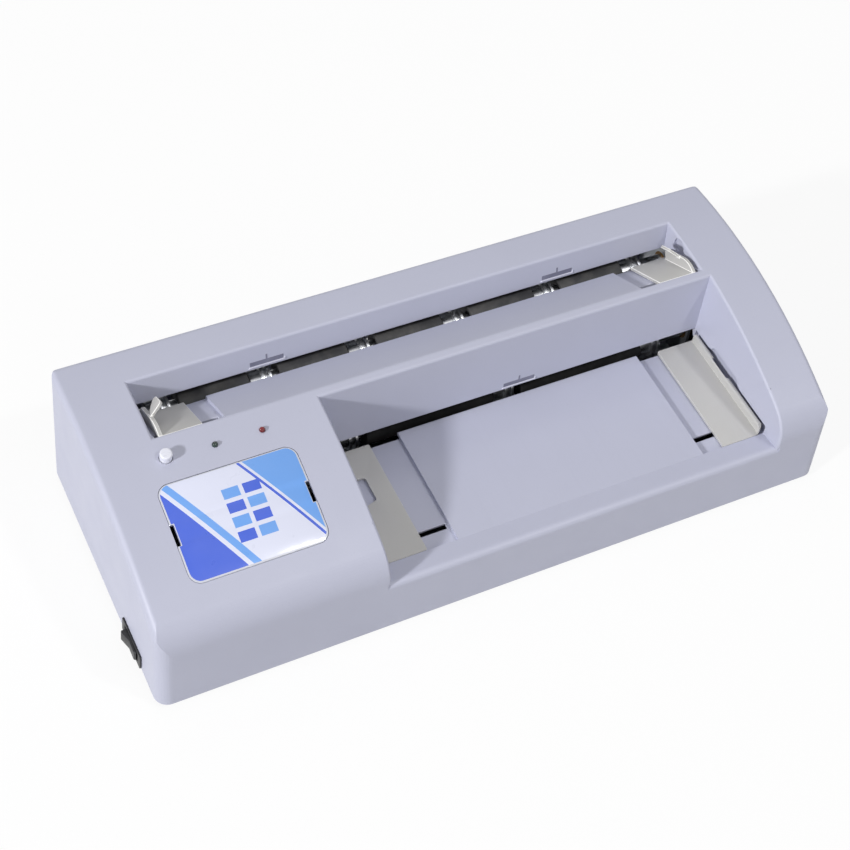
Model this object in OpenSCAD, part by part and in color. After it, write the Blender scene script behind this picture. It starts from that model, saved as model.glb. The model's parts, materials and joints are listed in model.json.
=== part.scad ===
// Business card slitter with two feed slots: sheets to strips above, strips to cards below.
// Millimetres. X runs along the slots to the right, Y to the back, Z up. The feet stand on Z 0.
// Heights inside the modules start at the lower edge of the housing; lift() adds the feet.

/* [Housing] */
// Width across the lower edge of the end faces
bottom_width = 372.6; // [340:0.2:430]
// Inward lean of the end faces per millimetre of height
end_lean = 0.0333; // [0.02:0.0001:0.04]
// Front face at the lower edge
front_y = -76.9; // [-95:0.1:-70]
// Backward lean of the front face in degrees
front_lean = 4.04; // [2:0.01:7]
// Radius of the curved top
arc_r = 255; // [220:1:320]
// Highest line of the curved top
arc_y = 44; // [38:0.5:50]
// Rounding between the top and the front face
front_r = 20; // [14:0.5:26]
// Rounding between the top and the back face
back_r = 4; // [3:0.5:5]
// Rounding of the top edges at both ends
crease_r = 3; // [2:0.5:5]
// Rounding of the upright corners
corner_r = 7; // [4:0.5:9]
// Wall thickness of the moulding
wall = 2.5; // [2:0.1:3]
// Thickness of the recess walls and trays
skin = 2.2; // [1.9:0.1:2.8]
// Height of the feet
foot_h = 4; // [3:0.5:8]

/* [Upper feed recess] */
// Distance from the end faces to the ends of the recess
end_bay = 35.6; // [34:0.1:42]
// Front edge of the sloping tray
tray_y = 18; // [14:0.5:22]
// Slope of the tray, down to the back
tray_angle = 29; // [26:0.5:32]
// Run of the tray along Y
tray_run = 26; // [24:0.5:32]
// Gap between the tray and the back wall
upper_slot = 6.3; // [5:0.1:9]
// Lean of the back wall in degrees
upper_wall_lean = 12.4; // [8:0.1:16]
// Lean of the recess ends in degrees
upper_draft = 3; // [1:0.1:4]
// Width of each guide bay
upper_bay_w = 35.1; // [34:0.1:42]

/* [Lower feed recess] */
// Height of the flat tray
floor_z = 31.5; // [29:0.5:40]
// Height of the curved top over the flat tray
recess_depth = 45.8; // [42:0.1:55]
// Width of the control panel, from the left end face to the recess
panel_w = 118.7; // [112:0.1:130]
// Reach of the recess past the upper one at the right
lower_reach = 2.7; // [0:0.1:5]
// Depth of the sloping sill in front of the tray
sill_run = 15.4; // [10:0.1:20]
// Drop of the sill towards the tray
sill_drop = 2; // [1:0.1:4]
// Height of the slot under the back wall
lower_slot = 5.2; // [4:0.1:7]
// Lean of the back wall in degrees
lower_wall_lean = 4.6; // [3:0.1:6]
// Lean of the recess ends in degrees
lower_draft = 1.9; // [1:0.1:3]
// Width of the ridge between the two recesses
ridge_w = 4.4; // [4:0.1:8]
// Width of the left guide bay
left_bay_w = 42.5; // [41:0.1:48]
// Width of the right guide bay
right_bay_w = 36.8; // [36:0.1:44]
// Depth of the groove under the recess ends
undercut = 2.5; // [1.5:0.1:3]
// Rounding of the recess rims in the curved top
rim_r = 1.6; // [0.8:0.1:2]
// Rounding of the sill's front edge
sill_r = 3; // [1.5:0.1:4]
// Rounding of the tray and wall edges at the slots
slot_r = 0.8; // [0.4:0.1:1]

/* [Paper guides] */
// Width of the upper guides
upper_guide_w = 22; // [18:0.5:24]
// Width of the lower guides
lower_guide_w = 24.2; // [20:0.1:25]
// Gap from the upper guides to the recess ends
upper_guide_gap = 1.7; // [1.6:0.1:4]
// Gap from the left lower guide to its groove
left_guide_gap = 4; // [1.8:0.1:6]
// Gap from the right lower guide to its groove
right_guide_gap = 2.4; // [0.8:0.1:4]
// Thickness of the guide plates
guide_t = 1.8; // [1.2:0.1:2]
// Thickness of the plates under the bays
bay_plate_t = 1.5; // [1:0.1:2]
// Width of the slots for the guide tongues
tongue_slot = 3.2; // [2.4:0.1:4]
// Height of the lips on the guides
lip_h = 5; // [3:0.1:6]
// Thickness of the lower guide lips
lip_t = 2.6; // [2:0.1:3.4]
// Thickness of the upper guide lips
upper_lip_t = 1.9; // [1.4:0.1:2.4]
// Length of the flat part of the finger notches
notch_l = 15; // [10:0.5:22]
// Depth of the notch in the left lower guide
left_notch = 13.8; // [2:0.1:15]
// Depth of the notch in the right lower guide
right_notch = 1.9; // [1.5:0.1:15]
// Tilt of the flaps on the upper guides in degrees
flap_angle = 42; // [20:1:60]
// Thickness of the flaps
flap_t = 1.5; // [1:0.1:2]

/* [Slitting shafts] */
// Radius of the shafts
shaft_r = 4; // [3:0.1:4.5]
// Thickness of the slitting discs
disc_t = 1.5; // [1:0.1:2.5]
// Side gap between paired discs
disc_gap = 0.3; // [0.1:0.05:0.5]
// Overlap of paired discs
disc_overlap = 0.4; // [0.2:0.1:0.8]
// Gap between paired rollers
roller_nip = 0.4; // [0.2:0.1:0.8]
// Radius of the disc hubs
hub_r = 7; // [5.5:0.1:7.6]
// Width of the disc hubs
hub_w = 6; // [4:0.5:9]
// Gap between the discs and the recess walls
roll_gap = 1.25; // [1:0.05:3]
// Distance between strip stations
strip_pitch = 54; // [45:0.5:60]
// Distance between card stations
card_pitch = 90; // [70:0.5:95]

/* [Gears] */
// Module of the teeth
tooth_module = 0.8; // [0.78:0.01:0.86]
// Teeth of the gears on the shafts
shaft_teeth = 22; // [22:1:23]
// Teeth of the drive gear
drive_teeth = 48; // [40:1:50]
// Teeth of the motor pinion
pinion_teeth = 14; // [13:1:16]
// Thinning of each tooth at the pitch circle
tooth_play = 0.16; // [0.1:0.01:0.25]
// Width of the gears
gear_w = 8; // [5:0.5:9]
// Direction from the card shaft to the drive gear in degrees
drive_angle = 169.2; // [165:0.1:172]
// Direction from the drive gear to the motor in degrees
motor_angle = 171; // [165:0.5:178]
// Radius of the motor can
motor_r = 18.5; // [15:0.5:20]
// Length of the motor can
motor_l = 51; // [40:1:53]
// Radius of the gearbox
gearbox_r = 22; // [21:0.5:23]
// Length of the gearbox
gearbox_l = 22; // [18:0.5:24]

/* [Control panel] */
// Distance of the push button from the left end face
button_in = 36.3; // [36:0.1:44]
// Distance of the green lamp from the left end face
green_led_in = 60.3; // [57:0.1:64]
// Distance of the red lamp from the left end face
red_led_in = 84.3; // [80:0.1:92]
// Distance of the lamps in front of the upper tray
led_row = 12.5; // [11:0.1:16]
// Distance of the push button in front of the upper tray
button_row = 11.3; // [10:0.1:16]
// Radius of the push button
button_r = 3.1; // [2.5:0.1:3.4]
// Height of the push button over the top
button_proud = 4.6; // [2:0.1:8]
// Radius of the lamps
led_r = 1.5; // [1:0.1:2.5]
// Distance of the nameplate's middle from the left end face
plate_in = 60.65; // [55:0.05:66]
// Distance of the nameplate's middle from the front face
plate_front = 46.45; // [44:0.05:50]
// Width of the nameplate
plate_w = 69.5; // [60:0.5:76]
// Length of the nameplate
plate_l = 50; // [40:0.5:54]
// Thickness of the nameplate
plate_t = 1.2; // [0.8:0.1:1.6]
// Corner rounding of the nameplate
plate_r = 6; // [3:0.5:9]

/* [Switch and inlet] */
// Distance of the switch from the front face
switch_in = 34.9; // [34:0.1:50]
// Height of the switch
switch_z = 6; // [5.8:0.1:9]
// Length of the switch bezel
bezel_l = 24.5; // [23:0.5:27]
// Height of the switch bezel
bezel_h = 10; // [9.4:0.1:11]
// Length of the rocker
rocker_l = 14; // [12:0.1:14.4]
// Width of the rocker
rocker_w = 6.4; // [5:0.1:6.8]
// Tilt of the rocker in degrees
rocker_tilt = 8; // [5:0.5:8]
// Distance of the inlet from the left end face
inlet_in = 76.3; // [65:0.1:95]
// Height of the inlet's middle
inlet_z = 17; // [15:0.1:17.5]

/* [Hidden] */
$fn = 72;

housing_grey = [0.74, 0.745, 0.815];
guide_beige = [0.77, 0.76, 0.74];
steel = [0.72, 0.73, 0.75];
dark_steel = [0.38, 0.39, 0.41];
black = [0.06, 0.06, 0.07];
rubber_grey = [0.2, 0.2, 0.21];
bronze = [0.72, 0.55, 0.3];
nylon = [0.88, 0.87, 0.82];
film_blue = [0.45, 0.65, 0.92];
button_white = [0.95, 0.95, 0.96];
lens_green = [0.1, 0.3, 0.2];
lens_red = [0.75, 0.08, 0.1];
board_green = [0.12, 0.36, 0.2];
supply_grey = [0.3, 0.31, 0.33];

// Clearances: running fit, screw fit, loose gap between fixed pieces, overrun of cutters
fit = 0.04;
thread = 0.03;
gap = 0.3;
over = 1;

// Main heights and lines of the housing
half = bottom_width / 2;
arc_top = floor_z + recess_depth;
arc_z = arc_top - arc_r;
clear_z = arc_top + 18;
draft_angle = atan(end_lean);
front_slope = tan(front_lean);
recess_half = half - end_bay;

// Upper recess: tray line, back wall and bays
tray_z = top_z(tray_y);
tray_tan = tan(tray_angle);
tray_l = tray_run / cos(tray_angle);
tray_end = [tray_y + tray_run, tray_z - tray_tan * tray_run];
slope = [cos(tray_angle), -sin(tray_angle)];
up = [sin(tray_angle), cos(tray_angle)];
upper_foot = [tray_end[0] + upper_slot, tray_end[1]];
upper_wall = [sin(upper_wall_lean), cos(upper_wall_lean)];
upper_face = [cos(upper_wall_lean), -sin(upper_wall_lean)];
upper_tray_half = recess_half - upper_bay_w;
upper_bay_s = 0.4;
upper_tub_end = recess_half + 4;

// Lower recess: tray, sill, back wall and bays
lower_left = panel_w - half;
lower_right = recess_half + lower_reach;
lower_mid = (lower_left + lower_right) / 2;
lower_foot_z = floor_z + lower_slot;
lower_foot = [tray_y - ridge_w - tan(lower_wall_lean) * (tray_z - lower_foot_z), lower_foot_z];
lower_wall = [sin(lower_wall_lean), cos(lower_wall_lean)];
floor_under = floor_z - skin;
floor_front = front_y + sill_run;
floor_back = lower_foot[0] - 1.2;
lower_tray_left = lower_left + left_bay_w;
lower_tray_right = lower_right - right_bay_w;
lower_tub_wall = undercut + skin + 0.2;
foot_land = 0.5;

// Guides: heights, edges, tongues and notches
guide_low = gap - skin;
lower_guide_z = floor_under + gap;
upper_guide_end = recess_half - upper_guide_gap;
left_guide_end = lower_left - undercut + left_guide_gap;
right_guide_end = lower_right + undercut - right_guide_gap;
upper_guide_s = [upper_bay_s + 0.4, tray_l + 0.5];
lower_guide_y = [floor_front + gap, floor_back - 1.8];
groove_top = lower_guide_z + guide_t + lip_h + 0.6;
tongue_t = tongue_slot - 1;
tongue_w = 10;
tongue_inset = 6;
upper_tongue_s = 4.4;
lower_tongue_y = floor_front + 9;
notch_y = -25.5;
notch_flare = 4;
relief_r = 4.5;
relief_at = [21, 7.5];
keeper_t = 1.4;
keeper_gap = 0.4;

// Shafts and gear train, as points in Y and Z
gear_span = tooth_module * shaft_teeth;
gear_tip = 0.62;
gear_root = 1;
disc_r = (gear_span + disc_overlap) / 2;
roller_r = (gear_span - roller_nip) / 2;
tray_front = [tray_y, tray_z];
upper_back = upper_foot + [skin, 0];
strip_reach = upper_face * (upper_back - tray_front - up * gear_span / 2);
strip_run = (disc_r + roll_gap + strip_reach) / (upper_face * slope);
strip_nip = tray_front + slope * strip_run;
strip_upper = strip_nip + up * gear_span / 2;
strip_lower = strip_nip - up * gear_span / 2;
card_nip = [lower_foot[0] + skin + foot_land + roll_gap + disc_r, floor_z];
card_upper = card_nip + [0, gear_span / 2];
card_lower = card_nip - [0, gear_span / 2];
idler_spare = 3;
idler_teeth = ceil(norm(strip_lower - card_lower) / tooth_module - shaft_teeth) + idler_spare;
idler_at = meet(card_lower, strip_lower, tooth_module * (shaft_teeth + idler_teeth) / 2);
drive_at = card_lower + tooth_module * (shaft_teeth + drive_teeth) / 2 * [cos(drive_angle), sin(drive_angle)];
motor_at = drive_at + tooth_module * (drive_teeth + pinion_teeth) / 2 * [cos(motor_angle), sin(motor_angle)];
shafts = [strip_upper, strip_lower, card_upper, card_lower];

lower_phase = 0;
card_upper_phase = mesh_phase(lower_phase, shaft_teeth, card_lower, card_upper, shaft_teeth);
idler_phase = mesh_phase(lower_phase, shaft_teeth, card_lower, idler_at, idler_teeth);
strip_lower_phase = mesh_phase(idler_phase, idler_teeth, idler_at, strip_lower, shaft_teeth);
strip_upper_phase = mesh_phase(strip_lower_phase, shaft_teeth, strip_lower, strip_upper, shaft_teeth);
drive_phase = mesh_phase(lower_phase, shaft_teeth, card_lower, drive_at, drive_teeth);
pinion_phase = mesh_phase(drive_phase, drive_teeth, drive_at, motor_at, pinion_teeth);

// Back face, behind the upper strip gear
back_gap = 1.4;
back_y = strip_upper[0] + gear_span / 2 + gear_tip + back_gap + wall;
back_in = back_y - wall;

// Side frames
frame_gap = 0.3;
frame_t = 2;
frame_in = upper_tub_end + frame_gap;
frame_out = frame_in + frame_t;
flange_w = 11;
flange_t = 2;
frame_back = back_in - 1.8;
right_frame_front = tray_y - ridge_w + skin + foot_land;
left_frame_front = motor_at[0] - gearbox_r - 2.5;
frame_top_gap = 3;
base_t = 1.5;
flange_screw_x = frame_in - 5;
flange_screw_at = [for (x = [-1, 1], y = [card_nip[0], strip_lower[0]]) [x * flange_screw_x, y]];
tie_r = 4;
tie_at = [[card_nip[0] + 8.5, floor_z + 25.5], [card_nip[0] + 20.5, 9]];
tie_screw_r = 2;
tie_screw_l = 11;
bush_r = shaft_r + 1.5;
bush_flange_r = shaft_r + 2.8;
bush_flange_t = 1.2;
shaft_end = frame_out + 2.5;

// Stations along the shafts, as many as the recesses take
station_margin = 10;
strip_count = floor(2 * (recess_half - station_margin) / strip_pitch);
card_count = floor((lower_right - lower_left - 2 * station_margin) / card_pitch);
strip_stations = [for (i = [0:strip_count]) (i - strip_count / 2) * strip_pitch];
card_stations = [for (i = [0:card_count]) lower_mid + (i - card_count / 2) * card_pitch];
roller_end_gap = 0.75;
roller_clear = disc_gap / 2 + disc_t + hub_w + roller_end_gap;

// Gears outside the left frame
gear_x1 = -frame_out - 2;
gear_x0 = gear_x1 - gear_w;
gear_hub_w = 3;
loose_bore = 3.55;
stud_r = 3.5;
stud_head_r = 5.5;
stud_head_t = 2.2;
stud_end_r = 2.5;
motor_shaft_r = 3;
gearbox_x = -frame_in + gearbox_l;
motor_x = gearbox_x + motor_l;
gearbox_screw_circle = 16;
gearbox_screw_at = [for (a = [90, 210, 270]) motor_at + gearbox_screw_circle * [cos(a), sin(a)]];

// Screws: head radius, head height, shank radius and shank length
small_screw = [3, 1.8, 1.5, 5.2];
cover_screw = [3.2, 1.8, 1.5, 12];
tie_screw = [3.6, 2.2, tie_screw_r, tie_screw_l];
gearbox_screw = [2.9, 1.7, 1.5, 9];
board_screw = [2.6, 1.6, 1.2, 7.5];

// Bosses, feet and posts
boss_r = 4.5;
boss_h = 40;
boss_x = half - 6.8;
boss_at = [for (x = [-boss_x, boss_x], y = [front_y + 16.9, back_y - 14.3]) [x, y]];
foot_x = half - 21.8;
foot_at = [for (x = [-foot_x, foot_x], y = [front_y + 20.9, back_y - 20.3]) [x, y]];
foot_r = 8;
foot_tread_r = 7.2;
foot_well_r = 3.6;
foot_well_h = 2.2;
post_r = 3;

// Control panel places and the board under it
button_x = button_in - half;
green_led_x = green_led_in - half;
red_led_x = red_led_in - half;
led_y = tray_y - led_row;
button_y = tray_y - button_row;
plate_x = plate_in - half;
plate_y = front_y + plate_front;
plate_gap = 0.2;
clip_l = 5.3;
clip_w = 2.1;
clip_in = 0.85;
button_flange_r = button_r + 1.5;
button_flange_t = 1.5;
button_edge = 0.9;
plunger_r = 1.75;
board_depth = 15;
board_t = 1.6;
board_w = 60;
board_l = 18;
board_x = -frame_in + 1;
post_x = [(button_x + green_led_x) / 2, (green_led_x + red_led_x) / 2];
push_switch_w = 8;
push_switch_top = 6.4;
plunger_depth = 10;

// Switch and inlet
switch_y = front_y + switch_in;
switch_hole = [8.2, 20.2];
switch_case = [8, 20, 16];
rocker_well = 12;
rocker_pivot = 3;
rocker_pin_r = 1.2;
inlet_x = inlet_in - half;
inlet_flange = [32, 24, 2];
inlet_body = [27, 20];
inlet_well = [24, 16.4];
inlet_depth = 23.3;
inlet_floor = 5;
inlet_pin = [2, 4, 15];
inlet_pin_pitch = 7;

// Chutes to the exit slots
chute_t = 1.2;
chute_end = back_in - 0.4;
strip_chute_drop = 4.2;
strip_chute_start = strip_lower[0] + disc_r + 1;
strip_exit_z = tray_z - tray_tan * (back_y - tray_y);
strip_exit = [strip_exit_z - 7.6, strip_exit_z + 3.4];
card_chute_start = card_nip[0] + disc_r + 1.3;
card_chute_z = floor_z - 3.1;
card_chute_tan = 0.303;
card_exit_z = card_chute_z - card_chute_tan * (chute_end - card_chute_start);
card_exit_h = 12.5;
chute_leg_y = [strip_lower[0] - 4.4, strip_lower[0] + 7.6];

// Height of the curved top over a point along Y
function top_z(y) = arc_z + rise(arc_r, y - arc_y);

// Leg of a right triangle from its long side and the other leg
function rise(long, leg) = sqrt(long * long - leg * leg);

// Point at one distance from two others, on the lower right side of the line between them
function meet(a, b, r) =
    let (d = norm(b - a), u = (b - a) / d, h = rise(r, d / 2))
    a + u * d / 2 + h * [u[1], -u[0]];

// Direction from a to b in degrees
function heading(a, b) = atan2(b[1] - a[1], b[0] - a[0]);

// Turn of gear b so that its gaps take the teeth of gear a
function mesh_phase(phase_a, teeth_a, a, b, teeth_b) =
    let (h = heading(a, b))
    h + 180 + ((h - phase_a) * teeth_a / 360 + 0.5) * 360 / teeth_b;

// Points of an arc
function arc_points(c, r, a0, a1, n) =
    [for (i = [0:n]) let (a = a0 + (a1 - a0) * i / n) c + r * [cos(a), sin(a)]];

// Rounding of the corner at p between the unit directions a and b, from a to b
function fillet(p, a, b, r, n = 6) =
    let (
        half_turn = acos(a * b) / 2,
        o = p + (a + b) / norm(a + b) * r / sin(half_turn),
        h0 = heading(o, p + a * r / tan(half_turn)),
        step = heading(o, p + b * r / tan(half_turn)) - h0,
        turn = step > 180 ? step - 360 : step < -180 ? step + 360 : step
    )
    arc_points(o, r, h0, h0 + turn, n);

// A rounding whose first or last face runs on past the surface that it meets
function lead_in(arc) = [for (i = [0:len(arc) - 1]) i > 0 ? arc[i] : 2 * arc[0] - arc[1]];
function lead_out(arc) =
    let (n = len(arc) - 1)
    [for (i = [0:n]) i < n ? arc[i] : 2 * arc[n] - arc[n - 1]];

// Point where a line from p along w meets the curved top, and the top's direction to the back there
function crown_hit(p, w) =
    let (d = p - [arc_y, arc_z], k = d * w)
    p + w * (sqrt(k * k - d * d + arc_r * arc_r) - k);
function crown_back(p) = [p[1] - arc_z, arc_y - p[0]] / arc_r;

// Rectangle with rounded corners, as points round it
function rounded(x0, y0, x1, y1, r, n = 8) = concat(
    arc_points([x1 - r, y1 - r], r, 0, 90, n),
    arc_points([x0 + r, y1 - r], r, 90, 180, n),
    arc_points([x0 + r, y0 + r], r, 180, 270, n),
    arc_points([x1 - r, y0 + r], r, 270, 360, n));

// Middle of the rounding that touches the curved top and the front face
function front_centre() =
    let (
        k = front_y + front_r / cos(front_lean) - arc_y,
        qa = 1 + front_slope * front_slope,
        qb = 2 * (k * front_slope - arc_z),
        qc = k * k + arc_z * arc_z - (arc_r - front_r) * (arc_r - front_r),
        z = (-qb + sqrt(qb * qb - 4 * qa * qc)) / (2 * qa)
    )
    [k + arc_y + front_slope * z, z];

// Side outline of the housing, left open above the curved top
seam = 0.06;
function side_limit() =
    let (
        fc = front_centre(),
        fa = heading([arc_y, arc_z], fc),
        bc = [back_y - back_r, arc_z + rise(arc_r - back_r, back_y - back_r - arc_y)],
        ba = heading([arc_y, arc_z], bc)
    )
    concat(
        [[front_y, 0], [back_y, 0]],
        arc_points(bc, back_r, 0, ba - 8, 6),
        [bc + (back_r + seam) * [cos(ba), sin(ba)]],
        [[bc[0], clear_z], [fc[0], clear_z]],
        [fc + (front_r + seam) * [cos(fa), sin(fa)]],
        arc_points(fc, front_r, fa + 4, 180 - front_lean, 13));

// Side outline of the space inside
inner_drop = 5;
inner_chamfer = 3;
function side_inner() =
    let (
        fc = front_centre(),
        fa = heading([arc_y, arc_z], fc),
        ba = acos((back_in - back_r - arc_y) / (arc_r - wall)),
        corner_z = arc_z + rise(arc_r - wall, back_in - back_r - arc_y) - inner_chamfer
    )
    concat(
        [[front_y + wall / cos(front_lean) - inner_drop * front_slope, -inner_drop]],
        [[back_in, -inner_drop], [back_in, corner_z]],
        arc_points([arc_y, arc_z], arc_r - wall, ba, fa, 20),
        arc_points(fc, front_r - wall, fa + 5, 180 - front_lean, 9));

// Half angle of a gear tooth at a radius, for a pressure angle of 20 degrees
pressure = 20;
function involute(a) = tan(a) * 180 / PI - a;
function tooth_half(r, n) =
    let (
        rp = tooth_module * n / 2,
        rb = rp * cos(pressure),
        play = tooth_play / (2 * rp) * 180 / PI
    )
    90 / n - play + involute(pressure) - involute(acos(min(1, rb / max(r, rb))));
function gear_points(n, phase) =
    let (
        rp = tooth_module * n / 2,
        radii = [rp - gear_root, rp - gear_root / 2, rp, rp + gear_tip]
    )
    [for (i = [0:n - 1])
        let (c = phase + i * 360 / n)
        each concat(
            [for (r = radii) let (a = c - tooth_half(r, n)) r * [cos(a), sin(a)]],
            [for (k = [3:-1:0]) let (r = radii[k], a = c + tooth_half(r, n)) r * [cos(a), sin(a)]])];

// Height of the card chute's upper face over a point along Y
function card_chute(y) = card_chute_z - card_chute_tan * (y - card_chute_start);

module lift() {
    translate([0, 0, foot_h])
        children();
}

module along_x(x0, x1) {
    translate([x0, 0, 0])
        rotate([90, 0, 90])
            linear_extrude(height = x1 - x0)
                children();
}

module along_y(y0, y1) {
    translate([0, y1, 0])
        rotate([90, 0, 0])
            linear_extrude(height = y1 - y0)
                children();
}

module rod(x0, x1, at, r) {
    translate([x0, at[0], at[1]])
        rotate([0, 90, 0])
            cylinder(h = x1 - x0, r = r);
}

module block(lo, hi) {
    translate(lo)
        cube(hi - lo);
}

// Frame square to the curved top: Z is the height over the top
module on_top(x, y) {
    translate([x, arc_y, arc_z])
        rotate([asin((arc_y - y) / arc_r), 0, 0])
            translate([0, 0, arc_r])
                children();
}

// Frame of the sloping tray: Y runs down the slope to the back
module on_tray() {
    translate([0, tray_y, tray_z])
        rotate([-tray_angle, 0, 0])
            children();
}

// Frame of the left end face at the switch: Z points out of the face, X up
module on_left_face() {
    translate([end_lean * switch_z - half, switch_y, switch_z])
        rotate([0, draft_angle - 90, 0])
            children();
}

// Drawn as it is for the right side, mirrored for the left
module on_side(side) {
    mirror([side < 0 ? 1 : 0, 0, 0])
        children();
}

// Curved top with its rounded end edges, flaring below them past the end faces
module crown() {
    flare = 17;
    depth = 50;
    core = arc_r - depth - 100;
    edge = half - end_lean * (arc_top - crease_r) - crease_r;
    low = arc_r - crease_r;
    rim = arc_points([low, edge], crease_r, 0, 90 - flare, 7);
    last = [low - depth, edge + crease_r * cos(flare) + depth * tan(flare)];
    side = concat(rim, [last]);
    translate([0, arc_y, arc_z])
        rotate([0, 90, 0])
            rotate_extrude($fn = 240)
                polygon(concat([[core, -last[1]], [core, last[1]]],
                    [for (i = [len(side) - 1:-1:0]) side[i]],
                    [for (p = side) [p[0], -p[1]]]));
}

// Cutter that rounds an upright corner along the lean of both faces
module corner_knife(lean) {
    reach = 4;
    rotate([-lean, draft_angle, 0])
        translate([0, 0, -inner_drop])
            linear_extrude(height = clear_z + inner_drop)
                polygon(concat([[-reach, -reach], [corner_r, -reach]],
                    arc_points([corner_r, corner_r], corner_r, 270, 180, 8), [[-reach, corner_r]]));
}

module outer() {
    top_half = half - clear_z * end_lean;
    difference() {
        intersection() {
            along_x(-half - over, half + over)
                polygon(side_limit());
            along_y(front_y - over, back_y + over)
                polygon([[-half, 0], [half, 0], [top_half, clear_z], [-top_half, clear_z]]);
            crown();
        }
        for (side = [-1, 1])
            on_side(side) {
                translate([half, front_y, 0])
                    mirror([1, 0, 0])
                        corner_knife(front_lean);
                translate([half, back_y, 0])
                    rotate([0, 0, 180])
                        corner_knife(0);
            }
    }
}

module inner_space() {
    low_half = half - wall + end_lean * inner_drop;
    top_half = half - wall - clear_z * end_lean;
    intersection() {
        along_x(-half, half)
            polygon(side_inner());
        along_y(front_y, back_y)
            polygon([[-low_half, -inner_drop], [low_half, -inner_drop],
                [top_half, clear_z], [-top_half, clear_z]]);
    }
}

// Solid round the upper recess, before the recess is cut
module upper_tub() {
    lead = 4;
    under = tray_z - skin / cos(tray_angle);
    rear_top = upper_back + upper_wall * (arc_top - upper_foot[1]) / upper_wall[1];
    along_x(-upper_tub_end, upper_tub_end)
        polygon([[tray_y - lead, clear_z], [tray_y - lead, under + tray_tan * lead],
            [tray_end[0], under - tray_tan * tray_run], [tray_end[0] + over, upper_foot[1]],
            upper_back, rear_top, [rear_top[0] + lead, clear_z]]);
}

module upper_recess() {
    lead = 6;
    shaft_room = tray_end[1] - 12;
    back_rim = crown_hit(upper_foot, upper_wall);
    top_half = recess_half + tan(upper_draft) * (clear_z - shaft_room);
    bay = [upper_bay_w + 0.5, tray_l + 10, 4.4];
    front_edge = lead_in(fillet(tray_front, -crown_back(tray_front), slope, 2 * rim_r));
    tray_edge = fillet(tray_end, -slope, [0, -1], slot_r);
    foot_edge = fillet(upper_foot, [1, 0], upper_wall, slot_r);
    back_edge = lead_out(fillet(back_rim, -upper_wall, crown_back(back_rim), rim_r));
    intersection() {
        along_x(-half, half)
            polygon(concat([[tray_y - lead, clear_z]], front_edge, tray_edge, [[tray_end[0], shaft_room]],
                [[foot_edge[0][0], shaft_room]], foot_edge, back_edge, [[back_rim[0] + lead, clear_z]]));
        union() {
            along_y(front_y, back_y)
                polygon([[-recess_half, shaft_room], [recess_half, shaft_room],
                    [top_half, clear_z], [-top_half, clear_z]]);
            for (side = [-1, 1])
                on_side(side)
                    rim_cut([arc_y, arc_z], arc_r, recess_half, shaft_room, upper_draft);
        }
    }
    for (side = [-1, 1])
        on_side(side)
            on_tray() {
                translate([upper_tray_half, upper_bay_s, gap + 0.1 - bay[2]])
                    cube(bay);
                rod(recess_half - 1, recess_half + 2.6, relief_at, relief_r);
            }
}

// Cutter that rounds the rim of a wall, leaning by draft past x at height z, under a round surface
module rim_cut(at, surface_r, x, z, draft) {
    depth = 3;
    outer_r = surface_r / cos(draft) + rim_r * sin(draft) + seam;
    low = outer_r - rim_r;
    end = lead_in(arc_points([low, rim_r], rim_r, 270, 360, 6));
    translate([x + tan(draft) * (at[1] - z), at[0], at[1]])
        rotate([0, 90 + draft, 0])
            rotate_extrude($fn = 240)
                polygon(concat([[low - depth, -depth]], end, [[outer_r + 2, rim_r], [outer_r + 2, -depth]]));
}

module lower_tub() {
    rear = lower_foot + [skin + foot_land, 0];
    rear_top = [tray_y - ridge_w + skin, tray_z];
    along_x(lower_left - lower_tub_wall, lower_right + lower_tub_wall)
        polygon([[front_y, floor_under], [floor_back, floor_under], rear, rear_top,
            [rear_top[0] + 1, clear_z], [front_y, clear_z]]);
}

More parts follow.
